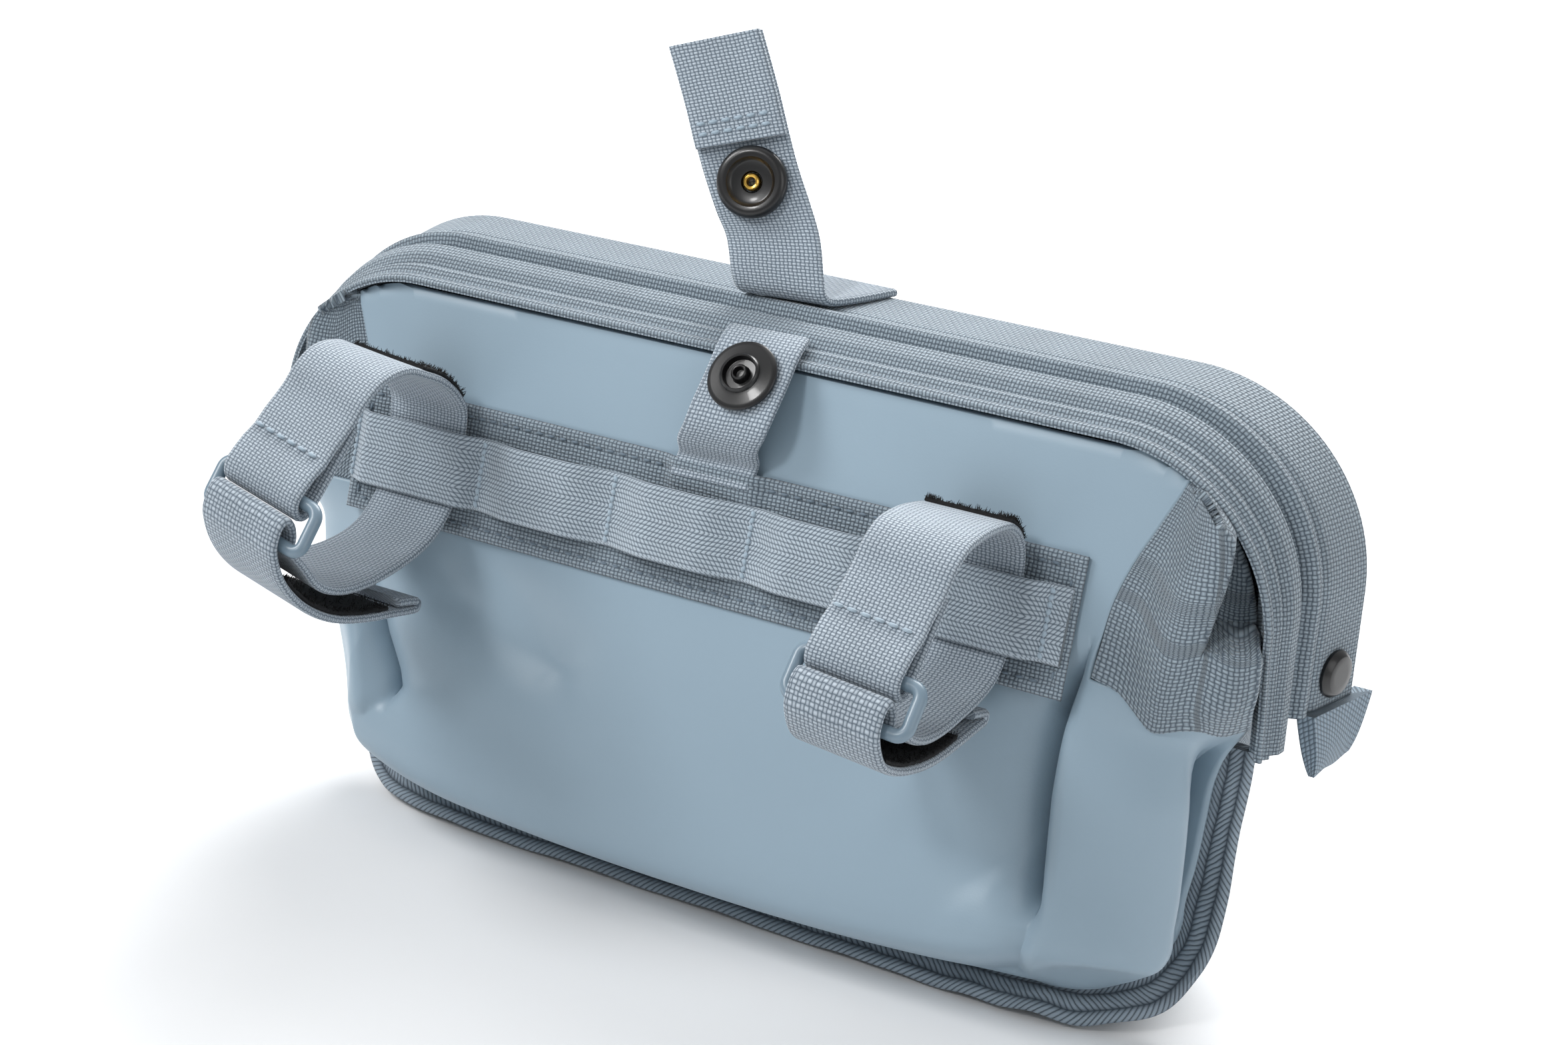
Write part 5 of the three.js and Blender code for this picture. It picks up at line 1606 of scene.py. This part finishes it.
    def ring(self) -> None:
        """Rectangular ring with round corners, moulded."""
        a, b = [on_panel(self.x + self.ring_shift, *p) for p in (self.loop.ring, self.lower)]
        middle, short = (a + b) / 2, (b - a).normalized()
        wide = (RIGHT - UP_SLOPE * self.loop.skew).normalized()
        half_long = STRAP_WIDTH / 2 + self.ring_shift + self.ring_room + self.bar - self.ring_corner
        half_short = self.ring_reach / 2 - self.ring_corner
        path = []
        for sx, sy in ((1, 1), (-1, 1), (-1, -1), (1, -1)):
            for t in spread(0, math.pi / 2, 9):
                ca, cb = (math.cos(t), math.sin(t)) if sx * sy > 0 else (math.sin(t), math.cos(t))
                path.append(middle + wide * (sx * (half_long + self.ring_corner * ca))
                            + short * (sy * (half_short + self.ring_corner * cb)))
        plane = wide.cross(short).normalized()
        count = len(path)

        def place(u: float, v: int) -> Vector:
            """Point at angle u of the bar's section at point v of the path."""
            ahead = (path[(v + 1) % count] - path[(v - 1) % count]).normalized()
            out = ahead.cross(plane).normalized()
            return path[v % count] + (out * math.cos(u) + plane * math.sin(u)) * self.bar

        bm = grid_mesh(spread(0, 2 * math.pi, 17), range(count + 1), place, close=True)
        bmesh.ops.recalc_face_normals(bm, faces=bm.faces)
        finish_object(f"bar_ring_{self.word}", bm, ACETAL, [f"strap_ring_{self.word}"])


@dataclass(frozen=True)
class SoftLight:
    """Round lamp: its place and aim in metres, its size across, its power in watts."""

    name: str
    at: Point3
    size: float
    power: float
    target: Point3 = (0.0, 0.0, 0.08)


@dataclass
class Studio:
    """Pale floor, soft light and the camera at the photograph's angle, in metres and degrees."""

    camera_at: Point3 = (0.2661, -0.4730, 0.2779)
    azimuth: float = 29.0
    elevation: float = 20.0
    roll: float = 3.6
    lens: float = 62.6
    sensor: float = 36.0
    floor_half: float = 6.0
    surround: float = 0.45
    spot_cone: float = 13.5
    lights_hung: tuple[SoftLight, ...] = (
        SoftLight("key", (-0.5, -0.38, 0.66), 0.34, 4.0),
        SoftLight("fill", (0.95, -0.3, 0.5), 0.7, 1.8),
        SoftLight("top", (0.0, 0.1, 1.3), 0.8, 0.9),
        SoftLight("far_floor", (-0.1, 1.7, 1.3), 1.6, 55.0, (-0.1, 1.6, 0.0)),
        SoftLight("near_floor", (-0.2, 0.8, 1.0), 0.9, 12.0, (-0.2, 0.8, 0.0)),
    )
    upper: SoftLight = SoftLight("upper", (-0.15, -0.8, 0.8), 0.12, 32.0, (0.03, 0.0, 0.125))

    def build(self) -> None:
        """Sets the whole stage."""
        self.floor()
        self.lights()
        self.camera()

    def floor(self) -> None:
        """Pale floor under the bag."""
        bm = bmesh.new()
        bmesh.ops.create_grid(bm, x_segments=1, y_segments=1, size=self.floor_half)
        mesh = bpy.data.meshes.new("floor")
        bm.to_mesh(mesh)
        bm.free()
        floor = bpy.data.objects.new("floor", mesh)
        bpy.context.scene.collection.objects.link(floor)
        paint = bpy.data.materials.new("pale_floor_paint")
        paint.use_nodes = True
        skin = paint.node_tree.nodes["Principled BSDF"]
        skin.inputs["Base Color"].default_value = linear("#ecedee")
        skin.inputs["Roughness"].default_value = 0.8
        mesh.materials.append(paint)

    def lights(self) -> None:
        """Large soft lights and a pale surround."""
        world = bpy.data.worlds.new("studio")
        bpy.context.scene.world = world
        world.use_nodes = True
        back = world.node_tree.nodes["Background"]
        back.inputs["Color"].default_value = (0.97, 0.985, 1.0, 1.0)
        back.inputs["Strength"].default_value = self.surround
        bpy.context.scene.view_settings.view_transform = "Standard"
        for lamp in self.lights_hung:
            light = bpy.data.lights.new(lamp.name, "AREA")
            light.shape = "DISK"
            light.size = lamp.size
            self.hang(light, lamp)
        spot = bpy.data.lights.new(self.upper.name, "SPOT")
        spot.shadow_soft_size = self.upper.size
        spot.spot_size = math.radians(self.spot_cone)
        spot.spot_blend = 1.0
        self.hang(spot, self.upper)

    @staticmethod
    def hang(light: bpy.types.Light, lamp: SoftLight) -> None:
        """Gives a light its power, hangs it and aims it."""
        light.energy = lamp.power
        hung = bpy.data.objects.new(lamp.name, light)
        bpy.context.scene.collection.objects.link(hung)
        aim = Vector(lamp.target) - Vector(lamp.at)
        hung.matrix_world = Matrix.Translation(lamp.at) @ aim.to_track_quat("-Z", "Y").to_matrix().to_4x4()

    def camera(self) -> None:
        """Camera fitted to the photograph."""
        a, e, r = (math.radians(v) for v in (self.azimuth, self.elevation, self.roll))
        back = Vector((math.sin(a) * math.cos(e), -math.cos(a) * math.cos(e), math.sin(e)))
        level = Vector((math.cos(a), math.sin(a), 0))
        rise = back.cross(level)
        right = level * math.cos(r) + rise * math.sin(r)
        up = rise * math.cos(r) - level * math.sin(r)
        data = bpy.data.cameras.new("camera")
        data.lens = self.lens
        data.sensor_width = self.sensor
        data.clip_start = 0.01
        camera = bpy.data.objects.new("camera", data)
        bpy.context.scene.collection.objects.link(camera)
        turn = Matrix((right, up, back)).transposed().to_4x4()
        camera.matrix_world = Matrix.Translation(self.camera_at) @ turn
        bpy.context.scene.camera = camera


def main() -> None:
    """Builds the stage and every sub-assembly in order, and reports each piece."""
    logging.basicConfig(level=logging.INFO, format="%(name)s: %(message)s")
    Studio().build()
    Shell().build()
    MouthFrame().build()
    SnapStraps().build()
    panel = WebbingPanel()
    panel.build()
    HandlebarStrap("left", -72.0, LEFT_LOOP, panel.strap_seat).build()
    HandlebarStrap("right", 60.0, RIGHT_LOOP, panel.strap_seat).build()
    bpy.context.view_layer.update()


if __name__ == "__main__":
    main()
